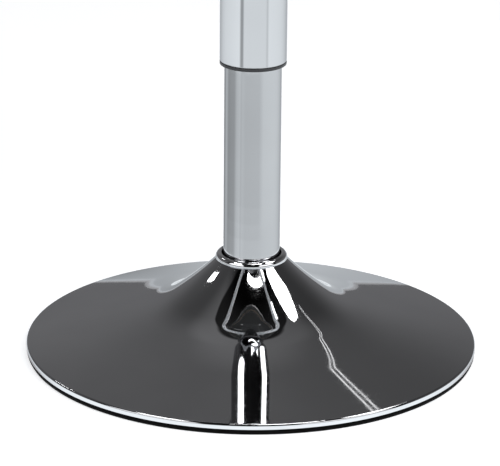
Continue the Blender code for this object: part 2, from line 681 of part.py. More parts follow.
def make_seat_pan(lift):
    """Pressed pan with a flange for the bolts, and the socket through its floor."""
    flange = block_mesh("seat_pan", FLANGE_SIZE, PAN_SHEET, FLANGE_CORNER)
    pan = add("seat_pan", flange, "black_paint", (0, 0, FLANGE_Z + PAN_SHEET / 2), lift)
    tub_top = FLANGE_Z + PAN_SHEET / 2
    tub = block_mesh("pan_tub", PAN_SIZE + PAN_SHEET * 2, tub_top - PAN_Z, PAN_CORNER + PAN_SHEET)
    combine(pan, tool("pan_tub", tub, (0, 0, (tub_top + PAN_Z) / 2)), "UNION")
    cavity = block_mesh("pan_cavity", PAN_SIZE, PAN_DEPTH * 2, PAN_CORNER)
    combine(pan, tool("pan_cavity", cavity, (0, 0, PAN_FLOOR + PAN_DEPTH)))

    hole = bore(SEAT_SOCKET_RADIUS, FIT, TUBE_FACETS)
    combine(pan, tool("pan_hole", round_mesh("pan_hole", hole, PAN_DEPTH, TUBE_FACETS), (0, 0, PAN_Z)))
    for i, (x, y) in enumerate(bolt_places()):
        mesh = round_mesh("pan_bolt_hole", bore(BOLT_RADIUS, RUN, SMALL_FACETS), PAN_SHEET * 4)
        combine(pan, tool(f"pan_bolt_hole_{i + 1}", mesh, (x, y, FLANGE_Z)))

    lift_at_wall = (PAN_SIZE / 2 + PAN_SHEET + LEVER_PIVOT_X) * tan(LEVER_SWING)
    low = LEVER_Z - LEVER_RADIUS - RUN
    high = LEVER_Z + LEVER_RADIUS / cos(LEVER_SWING) + lift_at_wall + RUN * 2
    slot = box_mesh("lever_slot", (PAN_CORNER, (LEVER_RADIUS + RUN) * 2, high - low))
    combine(pan, tool("lever_slot", slot, (-PAN_SIZE / 2, 0, (low + high) / 2)))

    top = bore(CYLINDER_RADIUS - CYLINDER_TAPER, FIT, TUBE_FACETS)
    foot = bore(CYLINDER_RADIUS, FIT, TUBE_FACETS)
    height = PAN_FLOOR - SEAT_SOCKET_Z
    profile = [(SEAT_SOCKET_RADIUS, height), (SEAT_SOCKET_RADIUS, 0.0), (foot, 0.0), (top, height)]
    turned("seat_socket", profile, "steel", SEAT_SOCKET_Z, lift, TUBE_FACETS)


def make_lever(lift, lever):
    """Hand lever on a cross pin, with the bracket that holds the pin."""
    bend_start = -(PAN_SIZE / 2 + PAN_SHEET + LEVER_WALL_GAP)
    rod_end = -(LEVER_REACH - HANDLE_LENGTH + HANDLE_BORE_DEPTH) + FIT
    path = [Vector((LEVER_OVERHANG, 0, 0))]
    steps = 7
    for i in range(steps + 1):
        share = i / steps
        ease = share * share * (3 - 2 * share)
        path.append(Vector((bend_start - LEVER_BEND_LENGTH * share, 0, -LEVER_DROP * ease)))
    path.append(Vector((rod_end, 0, -LEVER_DROP)))
    pivot = Vector((LEVER_PIVOT_X, 0, 0))
    mesh = tube_mesh("lever_rod", [point - pivot for point in path], LEVER_RADIUS, sides=10)
    place = (LEVER_PIVOT_X, 0, LEVER_Z)
    across = (pi / 2, 0, 0)
    rod = add("lever_rod", mesh, "steel", place, lever)
    hub = round_mesh("lever_hub", LEVER_HUB_RADIUS, LEVER_HUB_LENGTH)
    combine(rod, tool("lever_hub", hub, place, across), "UNION")
    hole_radius = bore(PIVOT_RADIUS, RUN, SMALL_FACETS)
    eye = round_mesh("lever_eye", hole_radius, LEVER_HUB_LENGTH * 2)
    combine(rod, tool("lever_eye", eye, place, across))

    inside = LEVER_HUB_LENGTH + RUN * 2
    outside = inside + BRACKET_SHEET * 2
    base = PAN_FLOOR + FIT
    bracket_place = (LEVER_PIVOT_X, 0, base + BRACKET_HEIGHT / 2)
    size = (BRACKET_LENGTH, outside, BRACKET_HEIGHT)
    bracket = add("lever_bracket", box_mesh("lever_bracket", size), "steel", bracket_place, lift)
    channel = box_mesh("bracket_channel", (BRACKET_LENGTH * 2, inside, BRACKET_HEIGHT))
    channel_place = (LEVER_PIVOT_X, 0, base + BRACKET_SHEET + BRACKET_HEIGHT / 2)
    combine(bracket, tool("bracket_channel", channel, channel_place))
    eye = round_mesh("bracket_eye", hole_radius, outside * 2)
    combine(bracket, tool("bracket_eye", eye, place, across))
    pin = add("lever_pivot", round_mesh("lever_pivot", PIVOT_RADIUS, outside + PIVOT_OVERHANG * 2), "steel",
              place, lift)
    pin.rotation_euler = across

    tip = HANDLE_LENGTH
    swell = HANDLE_RADIUS
    mouth = bore(LEVER_RADIUS, FIT, SMALL_FACETS)
    profile = [(0.0, tip)] + [
        (swell * sin(a), tip - swell + swell * cos(a)) for a in (pi / 8, pi / 4, 3 * pi / 8, pi / 2)
    ]
    profile += [
        (HANDLE_WAIST, tip / 3), (HANDLE_MOUTH, 0.0), (mouth, 0.0), (mouth, HANDLE_BORE_DEPTH),
        (0.0, HANDLE_BORE_DEPTH),
    ]
    handle = turned("lever_handle", profile, "black_plastic", closed=False)
    put(handle, (-(LEVER_REACH - HANDLE_LENGTH), 0, LEVER_Z - LEVER_DROP), lever)
    handle.rotation_euler = (0, -pi / 2, 0)


def make_seat(lift):
    """Board with its tee nuts and bolts, the cover under it and the pad on it."""
    board = turned("seat_board", disc(BOARD_RADIUS, BOARD_THICKNESS), "plywood", BOARD_Z, lift,
                   TUBE_FACETS, closed=False)
    cover = turned("dust_cover", disc(BOARD_RADIUS - COVER_MARGIN, COVER_THICKNESS), "felt", COVER_Z, lift,
                   TUBE_FACETS, closed=False)
    barrel_hole = bore(TEE_NUT_BARREL, FIT, SMALL_FACETS)
    flange_hole = bore(TEE_NUT_FLANGE_RADIUS, FIT, SMALL_FACETS)
    bolt_hole = bore(BOLT_RADIUS, RUN, SMALL_FACETS)
    recess = TEE_NUT_FLANGE + FIT
    nut_z = BOARD_TOP - TEE_NUT_FLANGE
    nut = [
        (TEE_NUT_FLANGE_RADIUS, TEE_NUT_FLANGE), (TEE_NUT_FLANGE_RADIUS, 0.0), (TEE_NUT_BARREL, 0.0),
        (TEE_NUT_BARREL, TEE_NUT_FLANGE - TEE_NUT_LENGTH), (bolt_hole, TEE_NUT_FLANGE - TEE_NUT_LENGTH),
        (bolt_hole, TEE_NUT_FLANGE),
    ]
    washer = ring(BOLT_WASHER_RADIUS, bolt_hole, BOLT_WASHER_THICKNESS)
    washer_z = FLANGE_Z - FIT - BOLT_WASHER_THICKNESS
    head_top = washer_z - FIT
    shank = BOARD_TOP - FIT - head_top
    for i, (x, y) in enumerate(bolt_places()):
        number = i + 1
        mesh = round_mesh("board_hole", barrel_hole, BOARD_THICKNESS * 3)
        combine(board, tool(f"board_hole_{number}", mesh, (x, y, BOARD_Z)))
        mesh = round_mesh("board_recess", flange_hole, recess * 2)
        combine(board, tool(f"board_recess_{number}", mesh, (x, y, BOARD_TOP)))
        mesh = round_mesh("cover_hole", bolt_hole, COVER_THICKNESS * 4)
        combine(cover, tool(f"cover_hole_{number}", mesh, (x, y, COVER_Z)))
        put(turned(f"tee_nut_{number}", nut, "steel"), (x, y, nut_z), lift)
        put(turned(f"bolt_washer_{number}", washer, "steel"), (x, y, washer_z), lift)
        head_place = (x, y, head_top - BOLT_HEAD_HEIGHT / 2)
        mesh = round_mesh("bolt_head", BOLT_HEAD_RADIUS, BOLT_HEAD_HEIGHT, facets=6)
        bolt = add(f"seat_bolt_{number}", mesh, "steel", head_place, lift)
        overlap = BOLT_HEAD_HEIGHT / 2
        mesh = round_mesh("bolt_shank", BOLT_RADIUS, shank + overlap, SMALL_FACETS)
        place = (x, y, head_top + (shank - overlap) / 2)
        combine(bolt, tool(f"bolt_shank_{number}", mesh, place), "UNION")

    crown_steps = 5
    shoulder_steps = 4
    side_steps = 4
    flat = SEAT_RADIUS - PAD_SHOULDER
    profile = []
    for i in range(crown_steps):
        share = i / crown_steps
        profile.append((flat * share, PAD_HEIGHT + PAD_CROWN * (1 - share * share)))
    shoulder = [pi / 2 * i / shoulder_steps for i in range(shoulder_steps + 1)]
    low = PAD_HEIGHT - PAD_SHOULDER
    profile += [(flat + PAD_SHOULDER * sin(a), low + PAD_SHOULDER * cos(a)) for a in shoulder]
    hem_z = BOARD_Z - BOARD_TOP
    for i in range(1, side_steps + 1):
        share = i / side_steps
        profile.append((SEAT_RADIUS - PAD_DRAW_IN * share * share, low + (hem_z - low) * share))
    recess_wall = bore(BOARD_RADIUS, FIT, TUBE_FACETS)
    profile += [(recess_wall, hem_z), (recess_wall, FIT), (0.0, FIT)]
    turned("seat_cushion", profile, "leather", BOARD_TOP, lift, TUBE_FACETS, closed=False)


def main():
    swivel = axis("swivel_axis", (0, 0, CAGE_Z))
    lift = axis("lift_axis", (0, 0, CYLINDER_Z), swivel)
    lever = axis("lever_axis", (LEVER_PIVOT_X, 0, LEVER_Z), lift)
    valve = axis("valve_axis", (0, 0, PIN_TOP), lift)
    make_base()
    make_floor_ring()
    make_hub()
    make_collar()
    make_column()
    make_bearing(swivel)
    make_gas_spring(swivel, lift, valve)
    make_sleeve(lift)
    make_footrest(lift)
    make_seat_pan(lift)
    make_lever(lift, lever)
    make_seat(lift)


main()
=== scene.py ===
"""Looks of the swivel bar stool: fine surfaces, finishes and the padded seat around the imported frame.

Metres, +Z up, in the frame's own axes. The stool's front, and the camera, are on the -Y side.
"""
from math import asin, atan2, cos, hypot, pi, radians, sin, sqrt, tan

import bmesh
import bpy
from mathutils import Matrix, Quaternion, Vector, noise
from mathutils.bvhtree import BVHTree


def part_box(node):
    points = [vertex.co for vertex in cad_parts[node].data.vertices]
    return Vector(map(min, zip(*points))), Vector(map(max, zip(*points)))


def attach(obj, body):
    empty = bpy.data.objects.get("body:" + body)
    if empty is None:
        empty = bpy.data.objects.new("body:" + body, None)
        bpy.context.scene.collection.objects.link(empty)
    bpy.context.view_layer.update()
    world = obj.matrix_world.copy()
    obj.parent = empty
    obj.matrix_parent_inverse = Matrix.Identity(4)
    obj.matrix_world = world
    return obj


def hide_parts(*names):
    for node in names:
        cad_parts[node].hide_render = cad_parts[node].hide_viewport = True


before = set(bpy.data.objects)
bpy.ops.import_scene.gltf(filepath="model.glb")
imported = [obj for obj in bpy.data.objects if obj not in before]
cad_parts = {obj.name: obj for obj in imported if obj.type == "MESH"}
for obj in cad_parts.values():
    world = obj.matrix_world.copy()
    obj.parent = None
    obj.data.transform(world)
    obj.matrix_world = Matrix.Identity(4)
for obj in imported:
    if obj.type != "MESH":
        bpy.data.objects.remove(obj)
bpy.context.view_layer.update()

# Camera, fitted to the photograph's frame of 500 x 466 pixels
IMAGE_WIDTH = 500
FOCAL_PIXELS = 2820.2
SENSOR_WIDTH = 36.0
CAMERA_BACK = 2.2587
CAMERA_HEIGHT = 0.9014
CAMERA_PITCH = 0.33972
CAMERA_YAW = -0.00062
CAMERA_ROLL = 0.00872

# Floor
FLOOR_RADII = (0.0, 2.0, 10.0, 45.0)
FLOOR_TONE = (0.85, 0.85, 0.86, 1.0)
FLOOR_GLOW = 0.62
FLOOR_GLOW_TINT = (0.98, 0.99, 1.0, 1.0)

# Glowing cards just over the floor, seen only in polished pieces, that paint reflections of the floor's
# light and shade: inner and outer radii
CARD_HEIGHT = 0.0008
REFLECTION_CARD_TINT = (0.93, 0.98, 1.01)
EDGE_CARD = (0.197, 0.26)
FAR_CARD = (0.89, 1.60)
# Rings of the near card between them: where each ends, and how much lighter its painted reflection is on
# its lit side
NEAR_RINGS = [(0.315, 1.15), (0.36, 1.09), (0.41, 1.04), (FAR_CARD[0], 1.0)]
LIT_SIDE = (-120, 35)
# Tones of the cards, by azimuth in degrees from the camera's side towards +X: painted light and shade that
# the chrome mirrors as streaks
EDGE_REFLECTION_TONES = [(-150, 1.5), (0, 1.55), (150, 1.5)]
NEAR_REFLECTION_TONES = [
    (-172, 1.03), (-154, 0.62), (-128, 0.84), (-112, 0.47), (-78, 0.50), (-66, 0.74), (-52, 0.82),
    (-47, 0.72), (-40, 0.79), (-28, 0.74), (26, 0.76), (44, 0.92), (150, 1.0), (168, 1.09),
]
FAR_REFLECTION_TONES = [
    (-168, 1.16), (-140, 1.08), (-80, 1.14), (-48, 1.22), (-42, 0.52), (-36, 0.52), (-31, 1.08),
    (42, 1.08), (48, 0.86), (54, 1.20), (150, 1.12), (168, 1.20),
]

# Room: fades along x, y or z of a direction, each as its two ends and the levels there
ROOM_TINT = (0.98, 0.98, 1.0, 1.0)
BEHIND = (-0.2, 0.05, 0.08, 1.0)  # along y
LEFT_WALL = (0.0, 0.75, 0.325, 0.145)  # along z
RIGHT_WALL = (0.0, 0.62, 0.325, 0.106)  # along z
LEFT_TO_RIGHT = (-0.25, 0.25)  # along x
SIDES = (0.0, 0.40, 1.0, 0.5)  # along x squared
CEILING = (0.74, 0.86, 1.0, 1.4)  # along z
ROOF_LIFT = (0.0, 0.2, 0.0, 0.062)  # along y: how much higher the roof starts
ROOF = (0.862, 0.880, 1.0, 0.1)  # along z, less the lift
SCREEN_SIDES = (0.13, 0.20, 0.0, 1.5)  # along x squared
SCREEN_BACK = (-0.30, -0.22, 1.0, 0.0)  # along y
SCREEN_FOOT = (0.14, 0.20, 0.0, 1.0)  # along z
SCREEN_TOP = (0.55, 0.62, 1.0, 0.0)  # along z

# Lamps: azimuth as for the cards, elevation, distance, width, height and tilt, angles in degrees
LIGHT_TARGET = Vector((0.0, 0.0, 0.1))
LAMP_RADIANCE = 9.0
LAMPS = {
    "right_softbox": (91, 54, 2.3, 0.86, 0.58, 0),
    "left_softbox": (-58, 52, 2.3, 0.88, 0.34, 0),
    "left_back_strip": (-121, 33.3, 2.3, 0.44, 0.065, 41),
    "front_softbox": (28, 62, 2.0, 0.8, 0.24, 0),
    "top_strip": (25, 70.6, 1.9, 1.0, 0.085, -15),
    "right_top_strip": (79, 69, 2.1, 0.19, 0.05, 20),
}
# Pairs of thin strips
STRIPS = {
    "back_strip": (156.5, 45.9, 2.3, 0.56, 0.010, -13),
    "side_strip": (130, 48.6, 2.3, 0.90, 0.010, 0),
}
STRIP_ROWS = {"upper": 0.0, "lower": -0.035}
STRIP_LEVEL = 0.18  # as a share of the lamps' radiance

# Patterns and meshes
PATTERN_RANGE = (0.3, 0.7)  # where most of a noise lies
SEGMENTS = 192
FINE_SEGMENTS = 256
ON_AXIS = 1e-6
CREASE = radians(38)
SOFT_CREASE = radians(60)
BOLT_CREASE = radians(25)

# Trumpet base: widths and slopes of its stretches, from the rim inwards
SHEET = 0.0015
RIM_HEIGHT = 0.0095
RIM_BEND = 0.0022
RIM_BREAK = 0.0003  # broken edge at the skirt's foot
RIM_HOLD = 0.0002  # last ring beside a bend
DISH_WIDTH = 0.0628
DISH_SLOPE = radians(13.9)
SWEEP_WIDTH = 0.036
SWEEP_SLOPE = radians(18.8)
KNEE_WIDTH = 0.024
KNEE_SLOPE = radians(36.5)
NECK_RADIUS = 0.0298
NECK_SLOPE = radians(45.6)
BASE_STEPS = (22, 16, 14, 24)  # rings over each stretch, from the neck outwards
BASE_WAVE = 0.00004  # how far the pressed sheet strays from its true shape
BASE_WAVE_LENGTH = 0.05
BASE_WAVE_FADE = DISH_WIDTH / 3  # the rim stays true

# Rubber ring
RUBBER_WIDTH = 0.0095
RUBBER_FOOT = 0.0041  # height that shows below the rim
RUBBER_GAP = 0.0006  # inside the base's skirt
RUBBER_DRAFT = 0.0003
RUBBER_OUTER_TUCK = 0.0010
RUBBER_INNER_TUCK = 0.0006
RUBBER_GROOVES = (0.0034, 0.0061)  # in from the outer edge
RUBBER_GROOVE = 0.0007  # half width and depth
RUBBER_ROUNDINGS = (0.0002, 0.0003, 0.0005, 0.0008, 0.0010, 0.0012)

# Collar at the neck
COLLAR_CREST = 0.0265
COLLAR_CURL = 0.0012
COLLAR_SKIRT = 0.006
COLLAR_FOOT = 0.0005  # upright edge under the dome
COLLAR_EDGE = 0.0003

# Hub under the base
WELD_DOTS = 6
WELD_RADIUS = 0.0022
WELD_RUN = radians(26)
WELD_OFFSET = 0.0006  # the run's middle, out from the socket and down from the plate
WELD_STEPS = 16
WELD_TAPER_END = 0.4  # steps by which the taper reaches past each end
WELD_RIPPLE = 0.06
WELD_RIPPLE_STEPS = 3

# Tubes
COLUMN_WALL = 0.0016
COLUMN_TAPER = 0.001
COLUMN_EDGE = 0.0004
COLUMN_EDGE_HOLD = 0.0002
SLEEVE_WALL = 0.0015
SLEEVE_LAP = 0.001  # the sleeve's edge, drawn down over the ring
SLEEVE_TOP_EDGE = 0.0005
SLEEVE_END_EDGE = 0.0007
SLEEVE_BORE_EDGE = 0.0003
SLEEVE_EDGE_HOLD = 0.0001
TUBE_HOLD = 0.002  # last ring before a bend in a tube's wall
RING_BAND = 0.0027  # what shows of the ring at the sleeve's end
RING_GAP = 0.0005  # round the column
RING_SPIGOT_GAP = 0.0004  # inside the sleeve
RING_EDGE = 0.0004
RING_MOUTH_EDGE = 0.0005
RING_END_EDGE = 0.0007

# Footrest
FOOTREST_TUBE = 0.022
FOOTREST_WALL = 0.0015
FOOTREST_BACK_BEND = 0.045
FOOTREST_FRONT_BEND = 0.085
BEAD_RADIUS = 0.0015
BEAD_RIPPLE = 0.0002
BEAD_RIPPLE_STEPS = 5

# Seat
SEAM_INSET = 0.0062  # piping in from the widest part of the pad
SEAM_DROP = 0.0175  # piping below the top of the crown
BOARD_GAP = 0.0004
PAD_SEGMENTS = 168
PAD_CROWN = 0.0072  # before the pad swells
PAD_CROWN_POWER = 2.6
PAD_BULGE = 0.0022  # of the side band, before the pad swells
PAD_CLOTH = {
    "quality": 6, "mass": 0.3, "tension_stiffness": 14, "compression_stiffness": 14,
    "shear_stiffness": 6, "bending_stiffness": 1.2, "shrink_min": -0.02, "use_pressure": True,
    "uniform_pressure_force": 4.0,
}
PAD_SWELL_CAP = 0.008
PAD_SWELL_FRAMES = 20
PIPING_RADIUS = 0.0026
PIPING_WANDER = 0.03  # share of the radius
PIPING_WANDER_SCALE = 90
STITCH_LENGTH = 0.0036
STITCH_PITCH = 0.0052
STITCH_RADIUS = 0.00042
STITCH_SETBACK = 0.0068
STITCH_ABOVE = 0.02  # where the stitches are dropped from, onto the pad
STITCH_BESIDE = 0.03
# Points of a stitch, in half lengths along it and thread radii over the pad
STITCH_ARCH = [(-1.0, -0.6), (-0.75, 0.25), (-0.3, 0.55), (0.3, 0.55), (0.75, 0.25), (1.0, -0.6)]
HEM_INSET = 0.0105  # in from the widest part of the pad
HEM_WIDTH = 0.0128  # leather turned in under the board
HEM_THICKNESS = 0.0008
HEM_EDGE = 0.0006
HEM_GATHERS = 84
HEM_GATHER_STEPS = 6
HEM_GATHER_DEPTH = 0.45  # share of the thickness
HEM_WANDER = 3
HEM_WANDER_SCALE = 30
STAPLES = 44
STAPLE_WIRE = 0.0004
STAPLE_LENGTH = 0.010
STAPLE_SETBACK = 0.005
STAPLE_PROUD = 0.6  # wire radii below the cover
# Points of a staple, in half lengths along it and wire radii up into the board
STAPLE_SHAPE = [(-1.0, 2.0), (-0.94, 0.0), (-0.6, 0.0), (0.6, 0.0), (0.94, 0.0), (1.0, 2.0)]

# Pan and bolts under the seat
PAN_SHEET = 0.0025
PAN_TUB = 0.120  # inside width
PAN_TUB_CORNER = 0.012
PAN_FLANGE_CORNER = 0.018
PAN_BEND = 0.003
PAN_EDGE = 0.0008
PAN_HOLE_GAP = 0.0002
BOLTS = 4
BOLT_SHANK = 0.003
BOLT_HEAD = 0.004
BOLT_CHAMFER = 0.0007
BOLT_CHAMFER_RUN = 1.6  # the head's chamfer, by its height

# Lever
LEVER_RADIUS = 0.004
LEVER_CHAMFER = 0.0007
LEVER_EYE = 0.007
LEVER_EYE_LENGTH = 0.014
LEVER_EYE_LAP = 0.001  # the bar runs on into the eye
LEVER_EYE_EDGE = 0.0006
LEVER_HOLE_EDGE = 0.0003
LEVER_HOLE_GAP = 0.0002
LEVER_NOSE = 0.011  # inner end, rounded off over the release pin
LEVER_NOSE_DEPTH = 0.0016
LEVER_NOSE_POWER = 1.5
LEVER_NOSE_STEPS = 8
LEVER_DROP = 0.020
LEVER_BEND_LENGTH = 0.040
LEVER_BEND_LEAD = 0.004
LEVER_WALL_GAP = 0.006  # straight run beyond the pan's wall
LEVER_SLOT_GAP = 0.0012
LEVER_SLOT_RISE = 0.0045  # room for the lever's swing
GRIP_MOUTH = 0.0064
GRIP_WAIST = 0.0068
GRIP_BORE = 0.0043
GRIP_BORE_DEPTH = 0.050
GRIP_LEAD_IN = 0.0006
GRIP_EDGE = 0.0008
GRIP_EDGE_STEP = 0.0002
GRIP_RIBS = 8
GRIP_RIB_START = 0.28  # share of the grip's length
GRIP_RIB_PITCH = 0.0042
GRIP_RIB_DEPTH = 0.00055


# Mesh helpers

def piece(name, bm, material, crease=CREASE):
    """Turn a bmesh into a shown object with smooth faces and true creases."""
    bmesh.ops.recalc_face_normals(bm, faces=bm.faces)
    mesh = bpy.data.meshes.new(name)
    bm.to_mesh(mesh)
    bm.free()
    mesh.shade_smooth()
    mesh.set_sharp_from_angle(angle=crease)
    obj = bpy.data.objects.new(name, mesh)
    bpy.context.scene.collection.objects.link(obj)
    mesh.materials.append(material)
    return obj


def spoke(turn, radius=1.0, height=0.0):
    """Point round the Z axis."""
    return Vector((radius * cos(turn), radius * sin(turn), height))


def even(start, end, steps):
    """Evenly spaced values from start to end."""
    return [start + (end - start) * i / steps for i in range(steps + 1)]


def circle(count):
    """Angles of points spread round a circle."""
    return [2 * pi * i / count for i in range(count)]


def skin(bm, rings, closed=False):
    """Faces between rings of as many points, where a ring may be one point repeated."""
    for first, second in zip(rings, rings[1:] + rings[:1] if closed else rings[1:]):
        for k in range(len(first)):
            n = (k + 1) % len(first)
            corners = list(dict.fromkeys((first[k], first[n], second[n], second[k])))
            if len(corners) > 2:
                bm.faces.new(corners)


def lathe(bm, outline, segments=SEGMENTS, closed=True):
    """Turn an outline of (radius, height) points round Z. Returns its rings."""
    rings = []
    for radius, height in outline:
        if radius < ON_AXIS:
            rings.append([bm.verts.new((0, 0, height))] * segments)
        else:
            rings.append([bm.verts.new(spoke(turn, radius, height)) for turn in circle(segments)])
    skin(bm, rings, closed)
    return rings


def rounded(corners, steps=5, hold=0.0):
    """Closed outline through corners of (radius, height, rounding), with each rounding as an arc.

    With a hold, a point at that distance from each arc keeps the shading of long walls straight.
    """
    outline = []
    count = len(corners)
    for i, (radius, height, rounding) in enumerate(corners):
        here = Vector((radius, height))
        if not rounding:
            outline.append((radius, height))
            continue
        before = (Vector(corners[i - 1][:2]) - here).normalized()
        after = (Vector(corners[(i + 1) % count][:2]) - here).normalized()
        half = before.angle(after) / 2
        start = here + before * rounding / tan(half)
        end = here + after * rounding / tan(half)
        centre = here + (before + after).normalized() * rounding / sin(half)
        angle = atan2(start.y - centre.y, start.x - centre.x)
        arc = atan2(end.y - centre.y, end.x - centre.x) - angle
        arc = (arc + pi) % (2 * pi) - pi
        if hold:
            outline.append(tuple(start + before * hold))
        for turn in even(angle, angle + arc, steps):
            outline.append((centre.x + rounding * cos(turn), centre.y + rounding * sin(turn)))
        if hold:
            outline.append(tuple(end + after * hold))
    return outline


def sweep(bm, path, radius, sides, closed=False):
    """Round tube along a path, with a section that doesn't twist. Returns its rings."""
    count = len(path)
    rings = []
    tangents = []
    for i in range(count):
        if closed:
            ahead, behind = path[(i + 1) % count], path[i - 1]
        else:
            ahead, behind = path[min(i + 1, count - 1)], path[max(i - 1, 0)]
        tangents.append((ahead - behind).normalized())
    side = tangents[0].orthogonal().normalized()
    for i, (point, tangent) in enumerate(zip(path, tangents)):
        side = (side - tangent * side.dot(tangent)).normalized()
        across = tangent.cross(side)
        size = radius(i) if callable(radius) else radius
        ring = [point + (side * cos(turn) + across * sin(turn)) * size for turn in circle(sides)]
        rings.append([bm.verts.new(spot) for spot in ring])
    skin(bm, rings, closed)
    return rings


def rod(bm, path, radius, sides):
    """Round bar along a path, closed at both ends."""
    rings = sweep(bm, path, radius, sides)
    bm.faces.new(rings[0])
    bm.faces.new(rings[-1])


# Material helpers

class Nodes:
    """A node tree, with short ways to add to it."""

    def __init__(self, tree):
        self.tree = tree

    def node(self, kind, links=(), **settings):
        """Add a node whose inputs are linked to sockets or set to values."""
        made = self.tree.nodes.new(kind)
        for label, value in settings.items():
            setattr(made, label, value)
        for socket, value in dict(links).items():
            if isinstance(value, bpy.types.NodeSocket):
                self.tree.links.new(value, made.inputs[socket])
            else:
                made.inputs[socket].default_value = value
        return made

    def math(self, operation, first, second):
        return self.node("ShaderNodeMath", {0: first, 1: second}, operation=operation).outputs[0]

    def span(self, value, low, high, start=PATTERN_RANGE[0], end=PATTERN_RANGE[1], **settings):
        """Map a pattern onto a range of numbers."""
        links = {"Value": value, "From Min": start, "From Max": end, "To Min": low, "To Max": high}
        return self.node("ShaderNodeMapRange", links, **settings).outputs["Result"]


class Finish(Nodes):
    """A material with a Principled shader and the few nodes that its pattern needs."""

    def __init__(self, name, **sockets):
        self.material = bpy.data.materials.new(name)
        self.material.use_nodes = True
        super().__init__(self.material.node_tree)
        self.shader = self.tree.nodes["Principled BSDF"]
        for label, value in sockets.items():
            self.shader.inputs[label.replace("_", " ")].default_value = value

    def place(self, scale=(1, 1, 1)):
        """Object coordinates, stretched along the axes."""
        spot = self.node("ShaderNodeTexCoord").outputs["Object"]
        return self.node("ShaderNodeMapping", {"Vector": spot, "Scale": scale}).outputs["Vector"]

    def noise(self, scale, detail, stretch=(1, 1, 1), roughness=0.5):
        links = {"Vector": self.place(stretch), "Scale": scale, "Detail": detail, "Roughness": roughness}
        return self.node("ShaderNodeTexNoise", links).outputs["Fac"]

    def cells(self, scale, feature="F1"):
        links = {"Vector": self.place(), "Scale": scale}
        return self.node("ShaderNodeTexVoronoi", links, feature=feature).outputs["Distance"]

    def to(self, socket, value):
        self.tree.links.new(value, self.shader.inputs[socket])

    def colour(self, value, low, high):
        """Colour the surface from low to high over a pattern."""
        ramp = self.node("ShaderNodeValToRGB", {"Fac": value})
        for stop, position, tone in zip(ramp.color_ramp.elements, PATTERN_RANGE, (low, high)):
            stop.position = position
            stop.color = (*tone, 1.0)
        self.to("Base Color", ramp.outputs["Color"])

    def roughness(self, value, low, high, *ends):
        self.to("Roughness", self.span(value, low, high, *ends))

    def bump(self, height, strength, distance):
        links = {"Height": height, "Strength": strength, "Distance": distance}
        self.to("Normal", self.node("ShaderNodeBump", links).outputs["Normal"])


def chrome(name, tone=0.6):
    """Bright chrome plate: almost even, with faint clouding and polishing marks."""
    finish = Finish(name, Metallic=1.0, Specular_Tint=(0.52, 0.52, 0.53, 1.0))
    low = [tone * share for share in (0.96, 0.965, 0.985)]
    high = [tone * share for share in (1.02, 1.025, 1.045)]
    finish.colour(finish.noise(14, 2.0), low, high)
    finish.roughness(finish.noise(160, 4.0), 0.022, 0.05)
    return finish.material


def steel(name):
    """Zinc-plated steel with a faint grain."""
    finish = Finish(name, Metallic=1.0)
    finish.colour(finish.noise(60, 5.0), (0.36, 0.36, 0.36), (0.5, 0.5, 0.49))
    finish.roughness(finish.noise(320, 4.0, (1, 1, 8)), 0.26, 0.44)
    finish.bump(finish.noise(700, 3.0, (1, 1, 10)), 0.12, 0.0002)
    return finish.material


def rubber(name):
    """Black rubber with a dull, slightly dusty skin."""
    finish = Finish(name, Specular_IOR_Level=0.06)
    dust = finish.noise(90, 5.0)
    finish.colour(dust, (0.0012, 0.0012, 0.0012), (0.004, 0.004, 0.004))
    finish.roughness(finish.noise(240, 3.0), 0.55, 0.8)
    finish.bump(finish.noise(1500, 2.0), 0.2, 0.0002)
    return finish.material


def plastic(name, low, high):
    """Moulded plastic with a fine spark-eroded texture."""
    finish = Finish(name)
    finish.colour(finish.noise(35, 3.0), low, high)
    finish.roughness(finish.noise(420, 3.0), 0.34, 0.48)
    finish.bump(finish.cells(1900), 0.16, 0.0002)
    return finish.material


def black_paint(name):
    """Powder coat with its orange-peel surface."""
    finish = Finish(name)
    clouds = finish.noise(45, 4.0)
    finish.colour(clouds, (0.014, 0.014, 0.015), (0.027, 0.027, 0.028))
    finish.roughness(finish.noise(260, 2.0), 0.36, 0.5)
    finish.bump(finish.noise(620, 2.0), 0.22, 0.0003)
    return finish.material


def plywood(name):
    """Birch plywood: long grain along X."""
    finish = Finish(name)
    grain = finish.noise(24, 6.0, (1, 14, 6), 0.6)
    finish.colour(grain, (0.40, 0.27, 0.15), (0.60, 0.44, 0.27))
    finish.roughness(grain, 0.72, 0.55)
    finish.bump(grain, 0.2, 0.0004)
    return finish.material


def felt(name):
    """Non-woven dust cover."""
    finish = Finish(name, Sheen_Weight=0.15, Sheen_Roughness=0.6)
    fibres = finish.noise(520, 6.0, roughness=0.7)
    finish.colour(fibres, (0.009, 0.009, 0.009), (0.030, 0.030, 0.030))
    finish.roughness(fibres, 0.95, 0.8)
    finish.bump(fibres, 0.5, 0.0006)
    return finish.material


def leather(name):
    """Black synthetic leather: pebbled grain over soft clouding."""
    finish = Finish(name, Specular_IOR_Level=0.45)
    clouds = finish.noise(7, 3.0)
    finish.colour(clouds, (0.016, 0.0155, 0.015), (0.030, 0.029, 0.028))
    pebbles = finish.cells(430, "SMOOTH_F1")
    creases = finish.noise(95, 5.0, roughness=0.6)
    grain = finish.math("ADD", pebbles, finish.math("MULTIPLY", creases, 0.9))
    finish.roughness(grain, 0.56, 0.40, 0.4, 1.1)
    finish.bump(grain, 0.42, 0.0006)
    return finish.material


def thread(name):
    """Waxed sewing thread with its twist."""
    finish = Finish(name)
    twist = finish.noise(1400, 2.0, (1, 1, 3))
    finish.colour(twist, (0.018, 0.018, 0.018), (0.052, 0.051, 0.050))
    finish.roughness(twist, 0.45, 0.7)
    return finish.material


